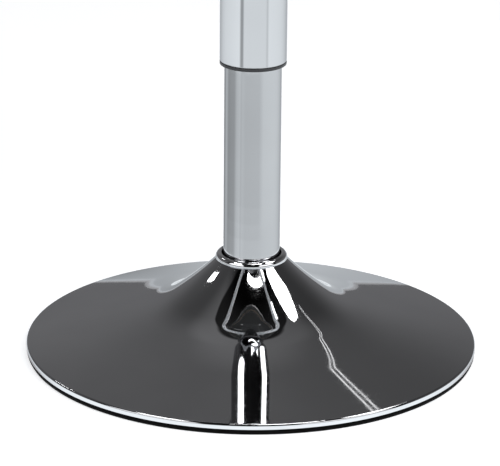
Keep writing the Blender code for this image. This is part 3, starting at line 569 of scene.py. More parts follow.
MATERIALS = {
    "chrome": chrome("chrome_plate"),
    "base_chrome": chrome("base_chrome_plate"),
    # The collar's chrome is a lighter copy of the same plate: painted brightness, so that its dome mirrors
    # more light than the other chrome
    "collar_painted_bright_chrome": chrome("collar_chrome_plate", 0.8),
    "plain_steel": steel("zinc_steel"),
    "rubber": rubber("black_rubber"),
    "black_plastic": plastic("black_moulded_plastic", (0.013, 0.013, 0.013), (0.024, 0.024, 0.025)),
    "grey_plastic": plastic("grey_moulded_plastic", (0.046, 0.047, 0.051), (0.066, 0.067, 0.072)),
    "black_paint": black_paint("black_powder_coat"),
    "plywood": plywood("birch_plywood"),
    "underside_felt": felt("dust_cover_felt"),
    "upholstery": leather("black_synthetic_leather"),
    "thread": thread("sewing_thread"),
}

# CAD nodes that keep their own shape, by the slot of their finish
KEPT_NODES = {
    "plain_steel": [
        "hub_plate", "hub_socket", "rod_plate", "bearing_lower_washer", "bearing_upper_washer",
        "bearing_cage", "rod_clip", "rod_clip_washer", "piston_rod", "release_pin", "seat_socket",
        "lever_bracket", "lever_pivot",
        *[f"{part}_{i + 1}" for part in ("tee_nut", "bolt_washer") for i in range(BOLTS)],
    ],
    "black_plastic": ["column_end_cap", "guide_bush", "piston", "cylinder_gland", "sleeve_bush"],
    "rubber": ["bump_stop"],
    "black_paint": ["gas_cylinder"],
    "plywood": ["seat_board"],
    "underside_felt": ["dust_cover"],
}


def dress_kept_nodes():
    """Give every CAD node that stays in view its finish."""
    for slot, names in KEPT_NODES.items():
        for name in names:
            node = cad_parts[name]
            node.data.materials.clear()
            node.data.materials.append(MATERIALS[slot])


def settle(obj, body, slot, *nodes):
    """Fix a piece to its body and hide the solids that it stands for. Its slot is not used."""
    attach(obj, body)
    if nodes:
        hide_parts(*nodes)


def add(name, bm, body, slot, *nodes, look=None, crease=CREASE):
    """Make a piece, in its slot's material unless its look is another, and settle it."""
    settle(piece(name, bm, MATERIALS[look or slot], crease), body, slot, *nodes)


def turned(name, outline, body, slot, node, look=None, segments=SEGMENTS):
    """Add a piece that is turned from a closed outline."""
    bm = bmesh.new()
    lathe(bm, outline, segments)
    add(name, bm, body, slot, node, look=look)


# Base

BASE_LOW, BASE_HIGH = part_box("base_shell")
BASE_RADIUS = BASE_HIGH.x
EDGE_RADIUS = BASE_RADIUS - RIM_BEND * (1 - sin(DISH_SLOPE))
DISH_START = EDGE_RADIUS - DISH_WIDTH
SWEEP_START = DISH_START - SWEEP_WIDTH
KNEE_START = SWEEP_START - KNEE_WIDTH
STRETCHES = [
    (DISH_START, DISH_SLOPE),
    (SWEEP_START, SWEEP_SLOPE),
    (KNEE_START, KNEE_SLOPE),
    (NECK_RADIUS, NECK_SLOPE),
]


def flare(radius):
    """Height and slope of the base's outer surface at a radius, over straight or arc stretches."""
    outer = EDGE_RADIUS
    height = RIM_HEIGHT
    slope = DISH_SLOPE
    for inner, inner_slope in STRETCHES:
        run = outer - max(radius, inner)
        rise = (sin(inner_slope) - sin(slope)) * run / (outer - inner)
        end_slope = asin(sin(slope) + rise)
        height += run * tan((slope + end_slope) / 2)
        slope = end_slope
        if radius >= inner:
            break
        outer = inner
    return height, slope


def clamp(value):
    return min(1.0, max(0.0, value))


def make_base():
    """Pressed and chromed trumpet base, with its rim turned down into the skirt."""
    ends = [NECK_RADIUS, KNEE_START, SWEEP_START, DISH_START, EDGE_RADIUS]
    radii = [NECK_RADIUS]
    for inner, outer, steps in zip(ends, ends[1:], BASE_STEPS):
        radii += even(inner, outer, steps)[1:]
    radii.insert(-1, EDGE_RADIUS - RIM_HOLD)
    outside = []
    inside = []
    for radius in radii:
        height, slope = flare(radius)
        outside.append((radius, height))
        inside.append((radius - SHEET * sin(slope), height - SHEET * cos(slope)))
    bend_radius = BASE_RADIUS - RIM_BEND
    bend_height = RIM_HEIGHT - RIM_BEND * cos(DISH_SLOPE)
    for turn in even(pi / 2 - DISH_SLOPE, 0.0, steps=12)[1:]:
        for side, bend in ((outside, RIM_BEND), (inside, RIM_BEND - SHEET)):
            side.append((bend_radius + bend * cos(turn), bend_height + bend * sin(turn)))
    foot = BASE_LOW.z + RIM_BREAK
    outside += [(BASE_RADIUS, bend_height - RIM_HOLD), (BASE_RADIUS, foot + RIM_HOLD)]
    outside += [(BASE_RADIUS, foot), (BASE_RADIUS - RIM_BREAK, BASE_LOW.z)]
    inside += [(BASE_RADIUS - SHEET, BASE_LOW.z)]
    bm = bmesh.new()
    lathe(bm, outside + inside[::-1], FINE_SEGMENTS)
    for vert in bm.verts:
        radius = hypot(vert.co.x, vert.co.y)
        fade = clamp((EDGE_RADIUS - radius) / BASE_WAVE_FADE) * clamp((radius - NECK_RADIUS) / SWEEP_WIDTH)
        vert.co.z += noise.noise(vert.co / BASE_WAVE_LENGTH) * BASE_WAVE * fade
    add("trumpet_base", bm, "base", "chrome", "base_shell", look="base_chrome")


def make_floor_ring():
    """Rubber ring with a bulged foot and two grip grooves under it."""
    low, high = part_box("floor_ring")
    outer = high.x
    inner = outer - RUBBER_WIDTH
    foot = RUBBER_FOOT
    behind = BASE_RADIUS - SHEET - RUBBER_GAP
    half = RUBBER_GROOVE
    floor = low.z
    groove = floor + half
    crisp, step, soft, lip, top, bulge = RUBBER_ROUNDINGS
    corners = [
        (outer - RUBBER_DRAFT, foot, crisp), (outer, foot / 2, bulge),
        (outer - RUBBER_OUTER_TUCK, floor, soft),
    ]
    for inset in RUBBER_GROOVES:
        centre = outer - inset
        corners += [
            (centre + half, floor, crisp), (centre + half / 2, groove, crisp),
            (centre - half / 2, groove, crisp), (centre - half, floor, crisp),
        ]
    corners += [
        (inner + RUBBER_INNER_TUCK, floor, soft), (inner, foot / 2, bulge),
        (inner + RUBBER_DRAFT, high.z, top), (behind, high.z, lip),
        (behind, foot, step),
    ]
    turned("rubber_ring", rounded(corners, 4), "base", "rubber", "floor_ring", segments=FINE_SEGMENTS)


def make_collar():
    """Domed chrome ring that closes the neck and leaves a narrow gap round the column."""
    low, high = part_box("neck_collar")
    lip = low.z + COLLAR_SKIRT
    foot = lip + COLLAR_FOOT
    width = high.x - COLLAR_CREST
    outline = []
    for turn in even(0.0, pi / 2, steps=14):
        outline.append((COLLAR_CREST + width * sin(turn), foot + (high.z - foot) * cos(turn)))
    neck = NECK_RADIUS - SHEET
    outline += [(high.x, lip + COLLAR_EDGE), (high.x - COLLAR_EDGE, lip), (neck, lip)]
    outline += [(neck - COLLAR_EDGE, low.z), (COLLAR_CREST - COLLAR_CURL, low.z)]
    for turn in even(pi, pi / 2, steps=7)[:-1]:
        drop = COLLAR_CURL * (1 - sin(turn))
        outline.append((COLLAR_CREST + COLLAR_CURL * cos(turn), high.z - drop))
    # Its chrome is painted brighter than that of the tubes and the base.
    turned("neck_ring", outline, "base", "chrome", "neck_collar", look="collar_painted_bright_chrome")


def make_column():
    """Fixed lower tube with its tapered foot."""
    low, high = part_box("column_tube")
    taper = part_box("hub_socket")[1].z

    def wall(radius):
        return [
            (radius, high.z, COLUMN_EDGE), (radius, taper + TUBE_HOLD, 0), (radius, taper, 0),
            (radius - COLUMN_TAPER, low.z, COLUMN_EDGE),
        ]

    corners = wall(high.x) + wall(high.x - COLUMN_WALL)[::-1]
    turned("lower_tube", rounded(corners, 4, COLUMN_EDGE_HOLD), "base", "chrome", "column_tube")


def make_hub_welds():
    """Short weld runs that hold the socket under the hub plate, as the hollow of the base shows."""
    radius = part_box("hub_socket")[1].x + WELD_OFFSET
    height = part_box("hub_plate")[0].z - WELD_OFFSET

    def bead(i):
        taper = sqrt(sin(pi * (i + WELD_TAPER_END) / (WELD_STEPS + 2 * WELD_TAPER_END)))
        return WELD_RADIUS * taper * (1 + WELD_RIPPLE * cos(2 * pi * i / WELD_RIPPLE_STEPS))

    bm = bmesh.new()
    for middle in circle(WELD_DOTS):
        turns = even(middle - WELD_RUN / 2, middle + WELD_RUN / 2, WELD_STEPS)
        rod(bm, [spoke(turn, radius, height) for turn in turns], bead, sides=12)
    add("hub_welds", bm, "base", "plain_steel")


# Sleeve and footrest

def make_sleeve():
    """Outer tube with softly broken edges."""
    low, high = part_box("sleeve_tube")
    bore = high.x - SLEEVE_WALL
    end = low.z - SLEEVE_LAP
    corners = [
        (high.x, high.z, SLEEVE_TOP_EDGE), (high.x, end, SLEEVE_END_EDGE),
        (bore, end, SLEEVE_BORE_EDGE), (bore, high.z, SLEEVE_BORE_EDGE),
    ]
    turned("upper_tube", rounded(corners, hold=SLEEVE_EDGE_HOLD), "seat", "chrome", "sleeve_tube")


def make_sleeve_ring():
    """Plastic guide ring: a band below the sleeve and a spigot inside it."""
    low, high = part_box("sleeve_ring")
    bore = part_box("column_tube")[1].x + RING_GAP
    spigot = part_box("sleeve_tube")[1].x - SLEEVE_WALL - RING_SPIGOT_GAP
    band = low.z + RING_BAND
    corners = [
        (spigot, high.z, RING_EDGE), (spigot, band, 0), (high.x, band, RING_EDGE),
        (high.x, low.z, RING_END_EDGE), (bore, low.z, RING_MOUTH_EDGE), (bore, high.z, RING_EDGE),
    ]
    turned("sleeve_guide_ring", rounded(corners), "seat", "grey_plastic", "sleeve_ring")


def bent_path(corners, bends, steps):
    """Points along straight runs, with each inner corner, a square one, bent to its radius."""
    path = [corners[0]]
    for before, corner, after, bend in zip(corners, corners[1:], corners[2:], bends):
        inward = (before - corner).normalized()
        onward = (after - corner).normalized()
        centre = corner + (inward + onward) * bend
        for turn in even(0.0, pi / 2, steps):
            path.append(centre - onward * bend * cos(turn) - inward * bend * sin(turn))
    path.append(corners[-1])
    return path


def make_footrest():
    """One bent tube, with its ends coped and welded to the sleeve."""
    low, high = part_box("footrest")
    radius = FOOTREST_TUBE / 2
    half = high.x - radius
    reach = -low.y - radius
    height = (low.z + high.z) / 2
    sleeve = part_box("sleeve_tube")[1].x
    corners = [Vector((sleeve, 0, height)), Vector((half, 0, height)), Vector((half, -reach, height))]
    corners += [Vector((-corner.x, corner.y, corner.z)) for corner in reversed(corners)]
    bends = [FOOTREST_BACK_BEND, FOOTREST_FRONT_BEND, FOOTREST_FRONT_BEND, FOOTREST_BACK_BEND]
    path = bent_path(corners, bends, steps=18)
    bm = bmesh.new()
    walls = [sweep(bm, path, size, sides=40) for size in (radius, radius - FOOTREST_WALL)]
    for end, sign in ((0, 1), (-1, -1)):
        for rings in walls:
            for vert in rings[end]:
                vert.co.x = sign * sqrt(sleeve ** 2 - vert.co.y ** 2)
        skin(bm, [walls[0][end], walls[1][end]])
    add("foot_rail", bm, "seat", "chrome", "footrest")

    def bead(i):
        return BEAD_RADIUS + BEAD_RIPPLE * cos(2 * pi * i / BEAD_RIPPLE_STEPS)

    for sign, side in ((1, "right"), (-1, "left")):
        path = []
        for turn in circle(90):
            y = radius * cos(turn)
            path.append(Vector((sign * sqrt(sleeve ** 2 - y ** 2), y, height + radius * sin(turn))))
        bm = bmesh.new()
        sweep(bm, path, bead, sides=12, closed=True)
        add(f"foot_rail_weld_{side}", bm, "seat", "chrome")


# Seat

def seam_line():
    """Radius and height of the seam between the pad's top and its side band."""
    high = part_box("seat_cushion")[1]
    return high.x - SEAM_INSET, high.z - SEAM_DROP


def pad_outline():
    """Outline of the pad before it swells, and the rings of it that are sewn or stapled down."""
    low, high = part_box("seat_cushion")
    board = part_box("seat_board")[1]
    wall = board.x + BOARD_GAP
    under = board.z + BOARD_GAP
    seam = seam_line()
    hem = (high.x - HEM_INSET, low.z)
    outline = []
    for share in even(0.0, 1.0, steps=34)[:-1]:
        outline.append((seam[0] * share, seam[1] + PAD_CROWN * (1 - share ** PAD_CROWN_POWER)))
    held = [len(outline)]
    for share in even(0.0, 1.0, steps=13)[:-1]:
        radius = seam[0] + (hem[0] - seam[0]) * share + PAD_BULGE * sin(pi * share)
        outline.append((radius, seam[1] + (hem[1] - seam[1]) * share))
    held += range(len(outline) - 1, len(outline) + 3)
    outline += [hem, (wall, low.z), (wall, under), (0.0, under)]
    held.append(len(outline) - 1)
    return outline, held


def swell(obj, held, start):
    """Blow the sewn pad up as cloth under a little pressure, and keep the shape that it takes."""
    group = obj.vertex_groups.new(name="held")
    group.add(held, 1.0, "REPLACE")
    cloth = obj.modifiers.new("pad", "CLOTH")
    for label, value in PAD_CLOTH.items():
        setattr(cloth.settings, label, value)
    cloth.settings.vertex_group_mass = group.name
    cloth.settings.effector_weights.gravity = 0.0
    cloth.collision_settings.use_collision = False
    scene = bpy.context.scene
    for step in range(1, PAD_SWELL_FRAMES + 1):
        scene.frame_set(step)
    graph = bpy.context.evaluated_depsgraph_get()
    swollen = [vert.co.copy() for vert in obj.evaluated_get(graph).data.vertices]
    obj.modifiers.remove(cloth)
    scene.frame_set(1)
    for vert, place, before in zip(obj.data.vertices, swollen, start):
        move = place - before
        if move.length > PAD_SWELL_CAP:
            move *= PAD_SWELL_CAP / move.length
        vert.co = before + move


def make_pad():
    """Sewn seat pad: a crowned top panel and a side band, joined at the piping."""
    outline, held_rings = pad_outline()
    bm = bmesh.new()
    rings = lathe(bm, outline, PAD_SEGMENTS, closed=False)
    bm.verts.index_update()
    held = [vert.index for ring in held_rings for vert in rings[ring]]
    pad = piece("seat_pad", bm, MATERIALS["upholstery"], SOFT_CREASE)
    start = [vert.co.copy() for vert in pad.data.vertices]
    swell(pad, held, start)
    smooth = pad.modifiers.new("smooth", "SUBSURF")
    smooth.levels = 1
    smooth.render_levels = 1
    settle(pad, "seat", "upholstery", "seat_cushion")
    make_piping()
    make_stitches(pad)


def make_piping():
    """Leather-covered cord that finishes the seam between top and band."""
    path = [spoke(turn, *seam_line()) for turn in circle(300)]

    def cord(i):
        return PIPING_RADIUS * (1 + PIPING_WANDER * noise.noise(path[i] * PIPING_WANDER_SCALE))

    bm = bmesh.new()
    sweep(bm, path, cord, sides=14, closed=True)
    add("seat_piping", bm, "seat", "upholstery")


def make_stitches(pad):
    """Rows of sewing stitches beside the piping, lying on the pad's own surface."""
    graph = bpy.context.evaluated_depsgraph_get()
    surface = BVHTree.FromObject(pad, graph)
    seam, seam_height = seam_line()
    count = round(2 * pi * seam / STITCH_PITCH)
    half = STITCH_LENGTH / 2
    rows = {
        "top": (seam - STITCH_SETBACK, seam_height + STITCH_ABOVE, Vector((0, 0, -1))),
        "band": (seam + STITCH_BESIDE, seam_height - STITCH_SETBACK, None),
    }
    for row, (radius, height, direction) in rows.items():
        bm = bmesh.new()
        for turn in circle(count):
            towards = direction or -spoke(turn)
            spot, normal = surface.ray_cast(spoke(turn, radius, height), towards)[:2]
            if spot is None:
                continue
            along = spoke(turn + pi / 2) * half
            path = [spot + along * share + normal * STITCH_RADIUS * lift for share, lift in STITCH_ARCH]
            rod(bm, path, STITCH_RADIUS, sides=6)
        add(f"seat_stitches_{row}", bm, "seat", "upholstery", look="thread")


def make_hem():
    """Leather turned in under the board, gathered towards its stapled edge."""
    low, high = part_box("seat_cushion")
    outer = high.x - HEM_INSET
    top = low.z
    foot = top - HEM_THICKNESS
    inner = outer - HEM_WIDTH
    outline = [(radius, foot) for radius in even(outer - HEM_EDGE, inner, steps=6)]
    outline = [(outer, top), *outline, (inner, top)]
    bm = bmesh.new()
    lathe(bm, outline, HEM_GATHERS * HEM_GATHER_STEPS)
    for vert in bm.verts:
        if vert.co.z > (top + foot) / 2:
            continue
        share = (outer - hypot(vert.co.x, vert.co.y)) / HEM_WIDTH
        wander = HEM_WANDER * noise.noise(vert.co * HEM_WANDER_SCALE)
        gather = 0.5 + 0.5 * cos(HEM_GATHERS * atan2(vert.co.y, vert.co.x) + wander)
        vert.co.z += HEM_THICKNESS * HEM_GATHER_DEPTH * share * gather
    add("seat_hem", bm, "seat", "upholstery", crease=SOFT_CREASE)


def make_staples():
    """Wire staples that hold the dust cover's edge to the board."""
    low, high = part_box("dust_cover")
    radius = high.x - STAPLE_SETBACK
    height = low.z - STAPLE_WIRE * STAPLE_PROUD
    bm = bmesh.new()
    for turn in circle(STAPLES):
        turn += pi / STAPLES
        middle = spoke(turn, radius, height)
        along = spoke(turn + pi / 2) * STAPLE_LENGTH / 2
        up = Vector((0, 0, STAPLE_WIRE))
        rod(bm, [middle + along * share + up * rise for share, rise in STAPLE_SHAPE], STAPLE_WIRE, sides=8)
    add("cover_staples", bm, "seat", "plain_steel")


# Pan, bolts and lever

def soft_square(half, corner, height):
    """Ring of points round a square with rounded corners."""
    ring = []
    for turn in circle(4):
        centre = Vector((cos(turn) - sin(turn), sin(turn) + cos(turn), 0)) * (half - corner)
        ring += [centre + spoke(angle, corner, height) for angle in even(turn, turn + pi / 2, steps=10)]
    return ring


def pan_section():
    """Half widths, corner radii and heights round the pan's sheet, from its rim to the hole and back."""
    low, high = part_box("seat_pan")
    rim = high.x
    tub = PAN_TUB / 2
    top = high.z
    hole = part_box("seat_socket")[1].x + PAN_HOLE_GAP
    outer_bend = PAN_BEND + PAN_SHEET
    quarter = even(0.0, pi / 2, steps=5)
    section = [
        (rim - PAN_EDGE, PAN_FLANGE_CORNER - PAN_EDGE, top), (rim, PAN_FLANGE_CORNER, top - PAN_EDGE),
        (rim, PAN_FLANGE_CORNER, top - PAN_SHEET + PAN_EDGE),
        (rim - PAN_EDGE, PAN_FLANGE_CORNER - PAN_EDGE, top - PAN_SHEET),
    ]
    bends = [
        (tub + outer_bend, top - outer_bend, PAN_BEND, [pi / 2 + a for a in quarter]),
        (tub - PAN_BEND, low.z + outer_bend, outer_bend, [-a for a in quarter]),
        (hole, low.z, 0.0, [0.0]),
        (hole, low.z + PAN_SHEET, 0.0, [0.0]),
        (tub - PAN_BEND, low.z + outer_bend, PAN_BEND, [a - pi / 2 for a in quarter]),
        (tub + outer_bend, top - outer_bend, outer_bend, [pi - a for a in quarter]),
    ]
    for centre, height, radius, turns in bends:
        for turn in turns:
            half = centre + radius * cos(turn)
            corner = half if half <= hole else PAN_TUB_CORNER + half - tub
            section.append((half, corner, height + radius * sin(turn)))
    return section


def slot_punch():
    """Bar with round ends that cuts the lever's slot through the pan's wall."""
    pivot = sum(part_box("lever_pivot"), Vector()) / 2
    half = LEVER_RADIUS + LEVER_SLOT_GAP
    bm = bmesh.new()
    ends = []
    for x in (-PAN_TUB / 2 - PAN_SHEET * 2, -PAN_TUB / 2 + PAN_SHEET):
        ring = []
        for rise, start in ((LEVER_SLOT_RISE, 0.0), (0.0, pi)):
            for turn in even(start, start + pi, steps=12):
                ring.append(bm.verts.new((x, half * cos(turn), pivot.z + rise + half * sin(turn))))
        ends.append(ring)
        bm.faces.new(ring)
    skin(bm, ends)
    return piece("slot_punch", bm, MATERIALS["black_paint"])


def make_pan():
    """Pressed pan with rolled bends, and the slot that the lever comes out through."""
    bm = bmesh.new()
    rings = [[bm.verts.new(point) for point in soft_square(*level)] for level in pan_section()]
    skin(bm, rings, closed=True)
    pan = piece("pressed_pan", bm, MATERIALS["black_paint"])
    punch = slot_punch()
    cut = pan.modifiers.new("slot", "BOOLEAN")
    cut.operation = "DIFFERENCE"
    cut.solver = "EXACT"
    cut.object = punch
    graph = bpy.context.evaluated_depsgraph_get()
    punched = bpy.data.meshes.new_from_object(pan.evaluated_get(graph))
    pan.modifiers.remove(cut)
    pan.data = punched
    punched.shade_smooth()
    punched.set_sharp_from_angle(angle=CREASE)
    bpy.data.objects.remove(punch)
    settle(pan, "seat", "black_paint", "seat_pan")


def make_bolts():
    """Hexagon bolts with a chamfered head."""
    for i in range(1, BOLTS + 1):
        low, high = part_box(f"seat_bolt_{i}")
        middle = (low + high) / 2
        corner = (high.x - low.x) / 2
        length = high.z - low.z
        head = [
            (0, 0), (corner - BOLT_CHAMFER * BOLT_CHAMFER_RUN, 0), (corner, BOLT_CHAMFER),
            (corner, BOLT_HEAD), (0, BOLT_HEAD),
        ]
        shank = [
            (0, BOLT_HEAD / 2), (BOLT_SHANK, BOLT_HEAD / 2), (BOLT_SHANK, length - BOLT_CHAMFER),
            (BOLT_SHANK - BOLT_CHAMFER, length), (0, length),
        ]
        bm = bmesh.new()
        lathe(bm, head, segments=6, closed=False)
        lathe(bm, shank, segments=24, closed=False)
        for vert in bm.verts:
            vert.co += Vector((middle.x, middle.y, low.z))
        add(f"hex_bolt_{i}", bm, "seat", "plain_steel", f"seat_bolt_{i}", crease=BOLT_CREASE)


def make_lever():
    """Bent lever bar with the eye that it tips on."""
    low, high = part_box("lever_rod")
    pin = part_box("lever_pivot")
    pivot = (pin[0] + pin[1]) / 2
    bend = -(PAN_TUB / 2 + PAN_SHEET + LEVER_WALL_GAP)
    lap = LEVER_EYE - LEVER_EYE_LAP
    outward = [(pivot.x - lap, pivot.z), (bend + LEVER_BEND_LEAD, pivot.z)]
    for share in even(0.0, 1.0, steps=24):
        drop = LEVER_DROP * share * share * (3 - 2 * share)
        outward.append((bend - LEVER_BEND_LENGTH * share, pivot.z - drop))
    foot = pivot.z - LEVER_DROP
    outward += [(low.x + LEVER_CHAMFER, foot), (low.x, foot)]
    nose = even(high.x - LEVER_NOSE, high.x, LEVER_NOSE_STEPS)
    inward = [(x, pivot.z) for x in (pivot.x + lap, *nose)]

    def outward_radius(i):
        return LEVER_RADIUS - (LEVER_CHAMFER if i == len(outward) - 1 else 0.0)

    def inward_radius(i):
        return LEVER_RADIUS - LEVER_NOSE_DEPTH * (max(0, i - 1) / LEVER_NOSE_STEPS) ** LEVER_NOSE_POWER

    bm = bmesh.new()
    for path, radius in ((outward, outward_radius), (inward, inward_radius)):
        rod(bm, [Vector((x, 0, z)) for x, z in path], radius, sides=28)
    half = LEVER_EYE_LENGTH / 2
    hole = pin[1].x - pivot.x + LEVER_HOLE_GAP
    corners = [
        (LEVER_EYE, half, LEVER_EYE_EDGE), (LEVER_EYE, -half, LEVER_EYE_EDGE),
        (hole, -half, LEVER_HOLE_EDGE), (hole, half, LEVER_HOLE_EDGE),
    ]
    for ring in lathe(bm, rounded(corners, 4), segments=48):
        for vert in ring:
            vert.co = pivot + Vector((vert.co.x, vert.co.z, vert.co.y))
    add("lever_bar", bm, "lever", "plain_steel", "lever_rod")


def make_grip():
    """Moulded grip with finger ribs and a domed end."""
    low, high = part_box("lever_handle")
    middle = (low + high) / 2
    length = high.x - low.x
    full = high.y
    dome = length - full
    waist = length / 3
    ribs_start = length * GRIP_RIB_START
    ribs_end = ribs_start + GRIP_RIB_PITCH * GRIP_RIBS
    outline = [
        (0.0, GRIP_BORE_DEPTH), (GRIP_BORE, GRIP_BORE_DEPTH), (GRIP_BORE, GRIP_EDGE),
        (GRIP_BORE + GRIP_LEAD_IN, 0.0), (GRIP_MOUTH - GRIP_EDGE, 0.0),
        (GRIP_MOUTH - GRIP_EDGE_STEP, GRIP_EDGE_STEP),
    ]
    for along in even(GRIP_EDGE, dome, steps=150):
        if along < waist:
            radius = GRIP_MOUTH + (GRIP_WAIST - GRIP_MOUTH) * along / waist
        else:
            radius = GRIP_WAIST + (full - GRIP_WAIST) * (along - waist) / (dome - waist)
        if ribs_start < along < ribs_end:
            wave = 0.5 - 0.5 * cos(2 * pi * (along - ribs_start) / GRIP_RIB_PITCH)
            radius -= GRIP_RIB_DEPTH * wave ** 2
        outline.append((radius, along))
    for turn in even(0.0, pi / 2, steps=12)[1:-1]:
        outline.append((full * cos(turn), dome + full * sin(turn)))
    outline.append((0.0, length))
    bm = bmesh.new()
    lathe(bm, outline, segments=64, closed=False)
    for vert in bm.verts:
        vert.co = Vector((high.x - vert.co.z, middle.y + vert.co.x, middle.z + vert.co.y))
    add("lever_grip", bm, "lever", "black_plastic", "lever_handle")


# Studio

def make_camera():
    """Camera at the photograph's viewing angle."""
    ahead = cos(CAMERA_PITCH)
    forward = Vector((sin(CAMERA_YAW) * ahead, cos(CAMERA_YAW) * ahead, -sin(CAMERA_PITCH)))
    level = Vector((cos(CAMERA_YAW), -sin(CAMERA_YAW), 0.0))
    upright = level.cross(forward)
    right = level * cos(CAMERA_ROLL) + upright * sin(CAMERA_ROLL)
    up = upright * cos(CAMERA_ROLL) - level * sin(CAMERA_ROLL)
    data = bpy.data.cameras.new("camera")
    data.sensor_width = SENSOR_WIDTH
    data.lens = FOCAL_PIXELS * SENSOR_WIDTH / IMAGE_WIDTH
    camera = bpy.data.objects.new("camera", data)
    turn = Matrix((right, up, -forward)).transposed().to_4x4()
    camera.matrix_world = Matrix.Translation((0, -CAMERA_BACK, CAMERA_HEIGHT)) @ turn
    bpy.context.scene.collection.objects.link(camera)
    bpy.context.scene.camera = camera


def bare_material(name):
    """Material with an empty node tree."""
    material = bpy.data.materials.new(name)
    material.use_nodes = True
    material.node_tree.nodes.clear()
    return material, Nodes(material.node_tree)


def make_floor():
    """Plain pale floor that reaches to the horizon and keeps the stool's shadow."""
    material, nodes = bare_material("pale_floor")
    rays = nodes.node("ShaderNodeLightPath").outputs
    seen = nodes.math("MAXIMUM", rays["Is Camera Ray"], rays["Is Glossy Ray"])
    seen = nodes.math("MAXIMUM", seen, rays["Is Transmission Ray"])
    level = nodes.math("MULTIPLY", seen, FLOOR_GLOW)
    glow = nodes.node("ShaderNodeEmission", {"Color": FLOOR_GLOW_TINT, "Strength": level})
    paper = nodes.node("ShaderNodeBsdfDiffuse", {"Color": FLOOR_TONE})
    both = nodes.node("ShaderNodeAddShader", {0: paper.outputs[0], 1: glow.outputs[0]})
    nodes.node("ShaderNodeOutputMaterial", {"Surface": both.outputs[0]})
    bm = bmesh.new()
    lathe(bm, [(radius, 0.0) for radius in FLOOR_RADII], segments=64, closed=False)
    floor = piece("floor", bm, material)


def make_painted_reflection_card(name, inner, outer, tones):
    """Ring-shaped card just over the floor that glows with painted light and shade, toned by azimuth,
    which only polished pieces mirror.
    """
    material, nodes = bare_material(name)
    spot = nodes.node("ShaderNodeTexCoord").outputs["Object"]
    quarter_turn = (0.0, 0.0, pi / 2)
    facing = nodes.node("ShaderNodeMapping", {"Vector": spot, "Rotation": quarter_turn}).outputs["Vector"]
    around = nodes.node("ShaderNodeTexGradient", {"Vector": facing}, gradient_type="RADIAL").outputs["Fac"]
    ramp = nodes.node("ShaderNodeValToRGB", {"Fac": around})
    stops = ramp.color_ramp.elements
    while len(stops) < len(tones):
        stops.new(0.5)
    for stop, (azimuth, tone) in zip(stops, tones):
        stop.position = 0.5 + azimuth / 360
        stop.color = (*[tone * share for share in REFLECTION_CARD_TINT], 1.0)
    glow = nodes.node("ShaderNodeEmission", {"Color": ramp.outputs["Color"]})
    nodes.node("ShaderNodeOutputMaterial", {"Surface": glow.outputs[0]})
    bm = bmesh.new()
    lathe(bm, [(inner, CARD_HEIGHT), (outer, CARD_HEIGHT)], segments=180, closed=False)
    card = piece(name, bm, material)
    card.visible_camera = False
    card.visible_diffuse = False
    card.visible_shadow = False


def lighter(tones, lift):
    """Tones of a card, made lighter on its lit side as painted light."""
    return [(turn, tone * lift if LIT_SIDE[0] < turn < LIT_SIDE[1] else tone) for turn, tone in tones]


def softbox(name, azimuth, elevation, distance, width, height, tilt, level=1.0, rise=0.0):
    """Rectangular lamp that faces the stool, tilted (in degrees) and raised in its own plane."""
    data = bpy.data.lights.new(name, "AREA")
    data.shape = "RECTANGLE"
    data.size = width
    data.size_y = height
    data.energy = LAMP_RADIANCE * level * pi * width * height
    lamp = bpy.data.objects.new(name, data)
    a = radians(azimuth)
    e = radians(elevation)
    towards = Vector((sin(a) * cos(e), -cos(a) * cos(e), sin(e)))
    lamp.rotation_mode = "QUATERNION"
    lamp.rotation_quaternion = towards.to_track_quat("Z", "Y") @ Quaternion((0, 0, 1), radians(tilt))
    lamp.location = LIGHT_TARGET + towards * distance + lamp.rotation_quaternion @ Vector((0, rise, 0))
    lamp.visible_camera = False
    bpy.context.scene.collection.objects.link(lamp)


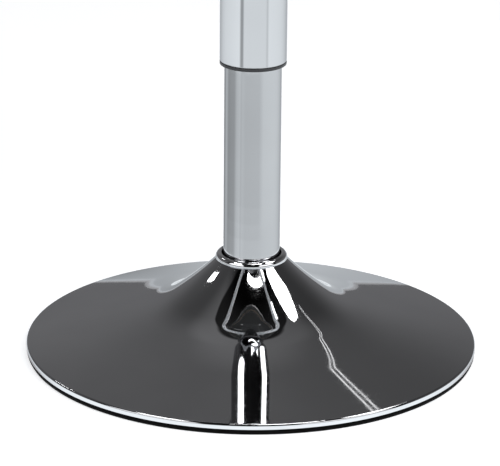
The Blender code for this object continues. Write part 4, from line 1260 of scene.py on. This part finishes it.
def make_world():
    """Dim grey room, lighter behind the stool, with a pale screen on each side of the camera."""
    world = bpy.data.worlds.new("studio")
    world.use_nodes = True
    nodes = Nodes(world.node_tree)
    spot = nodes.node("ShaderNodeTexCoord").outputs["Generated"]
    x, y, z = nodes.node("ShaderNodeSeparateXYZ", {0: spot}).outputs

    def fade(value, start, end, low, high):
        return nodes.span(value, low, high, start, end, interpolation_type="SMOOTHSTEP")

    def product(level, *shares):
        for share in shares:
            level = nodes.math("MULTIPLY", level, share)
        return level

    aside = nodes.math("MULTIPLY", x, x)
    wall = fade(x, *LEFT_TO_RIGHT, fade(z, *LEFT_WALL), fade(z, *RIGHT_WALL))
    roof = fade(nodes.math("SUBTRACT", z, fade(y, *ROOF_LIFT)), *ROOF)
    room = product(wall, fade(y, *BEHIND), fade(aside, *SIDES), fade(z, *CEILING), roof)
    screens = product(fade(aside, *SCREEN_SIDES), fade(y, *SCREEN_BACK))
    screens = product(screens, fade(z, *SCREEN_FOOT), fade(z, *SCREEN_TOP))
    background = world.node_tree.nodes["Background"]
    background.inputs["Color"].default_value = ROOM_TINT
    nodes.tree.links.new(nodes.math("ADD", room, screens), background.inputs["Strength"])
    bpy.context.scene.world = world


def make_studio():
    """Camera, floor, room and lamps."""
    make_camera()
    make_floor()
    # Glowing cards that paint reflections of the floor's light and shade, seen only in polished pieces
    make_painted_reflection_card("edge_reflection_card", *EDGE_CARD, EDGE_REFLECTION_TONES)
    inner = EDGE_CARD[1]
    for ring, (outer, lift) in enumerate(NEAR_RINGS):
        make_painted_reflection_card(f"near_reflection_card_{ring}", inner, outer, lighter(NEAR_REFLECTION_TONES, lift))
        inner = outer
    make_painted_reflection_card("far_reflection_card", *FAR_CARD, FAR_REFLECTION_TONES)
    make_world()
    for name, values in LAMPS.items():
        softbox(name, *values)
    for row, rise in STRIP_ROWS.items():
        for name, values in STRIPS.items():
            softbox(f"{name}_{row}", *values, STRIP_LEVEL, rise)
    bpy.context.scene.view_settings.view_transform = "Standard"


dress_kept_nodes()
make_base()
make_floor_ring()
make_collar()
make_column()
make_sleeve()
make_sleeve_ring()
make_footrest()
make_hub_welds()
make_pad()
make_hem()
make_staples()
make_pan()
make_bolts()
make_lever()
make_grip()
make_studio()
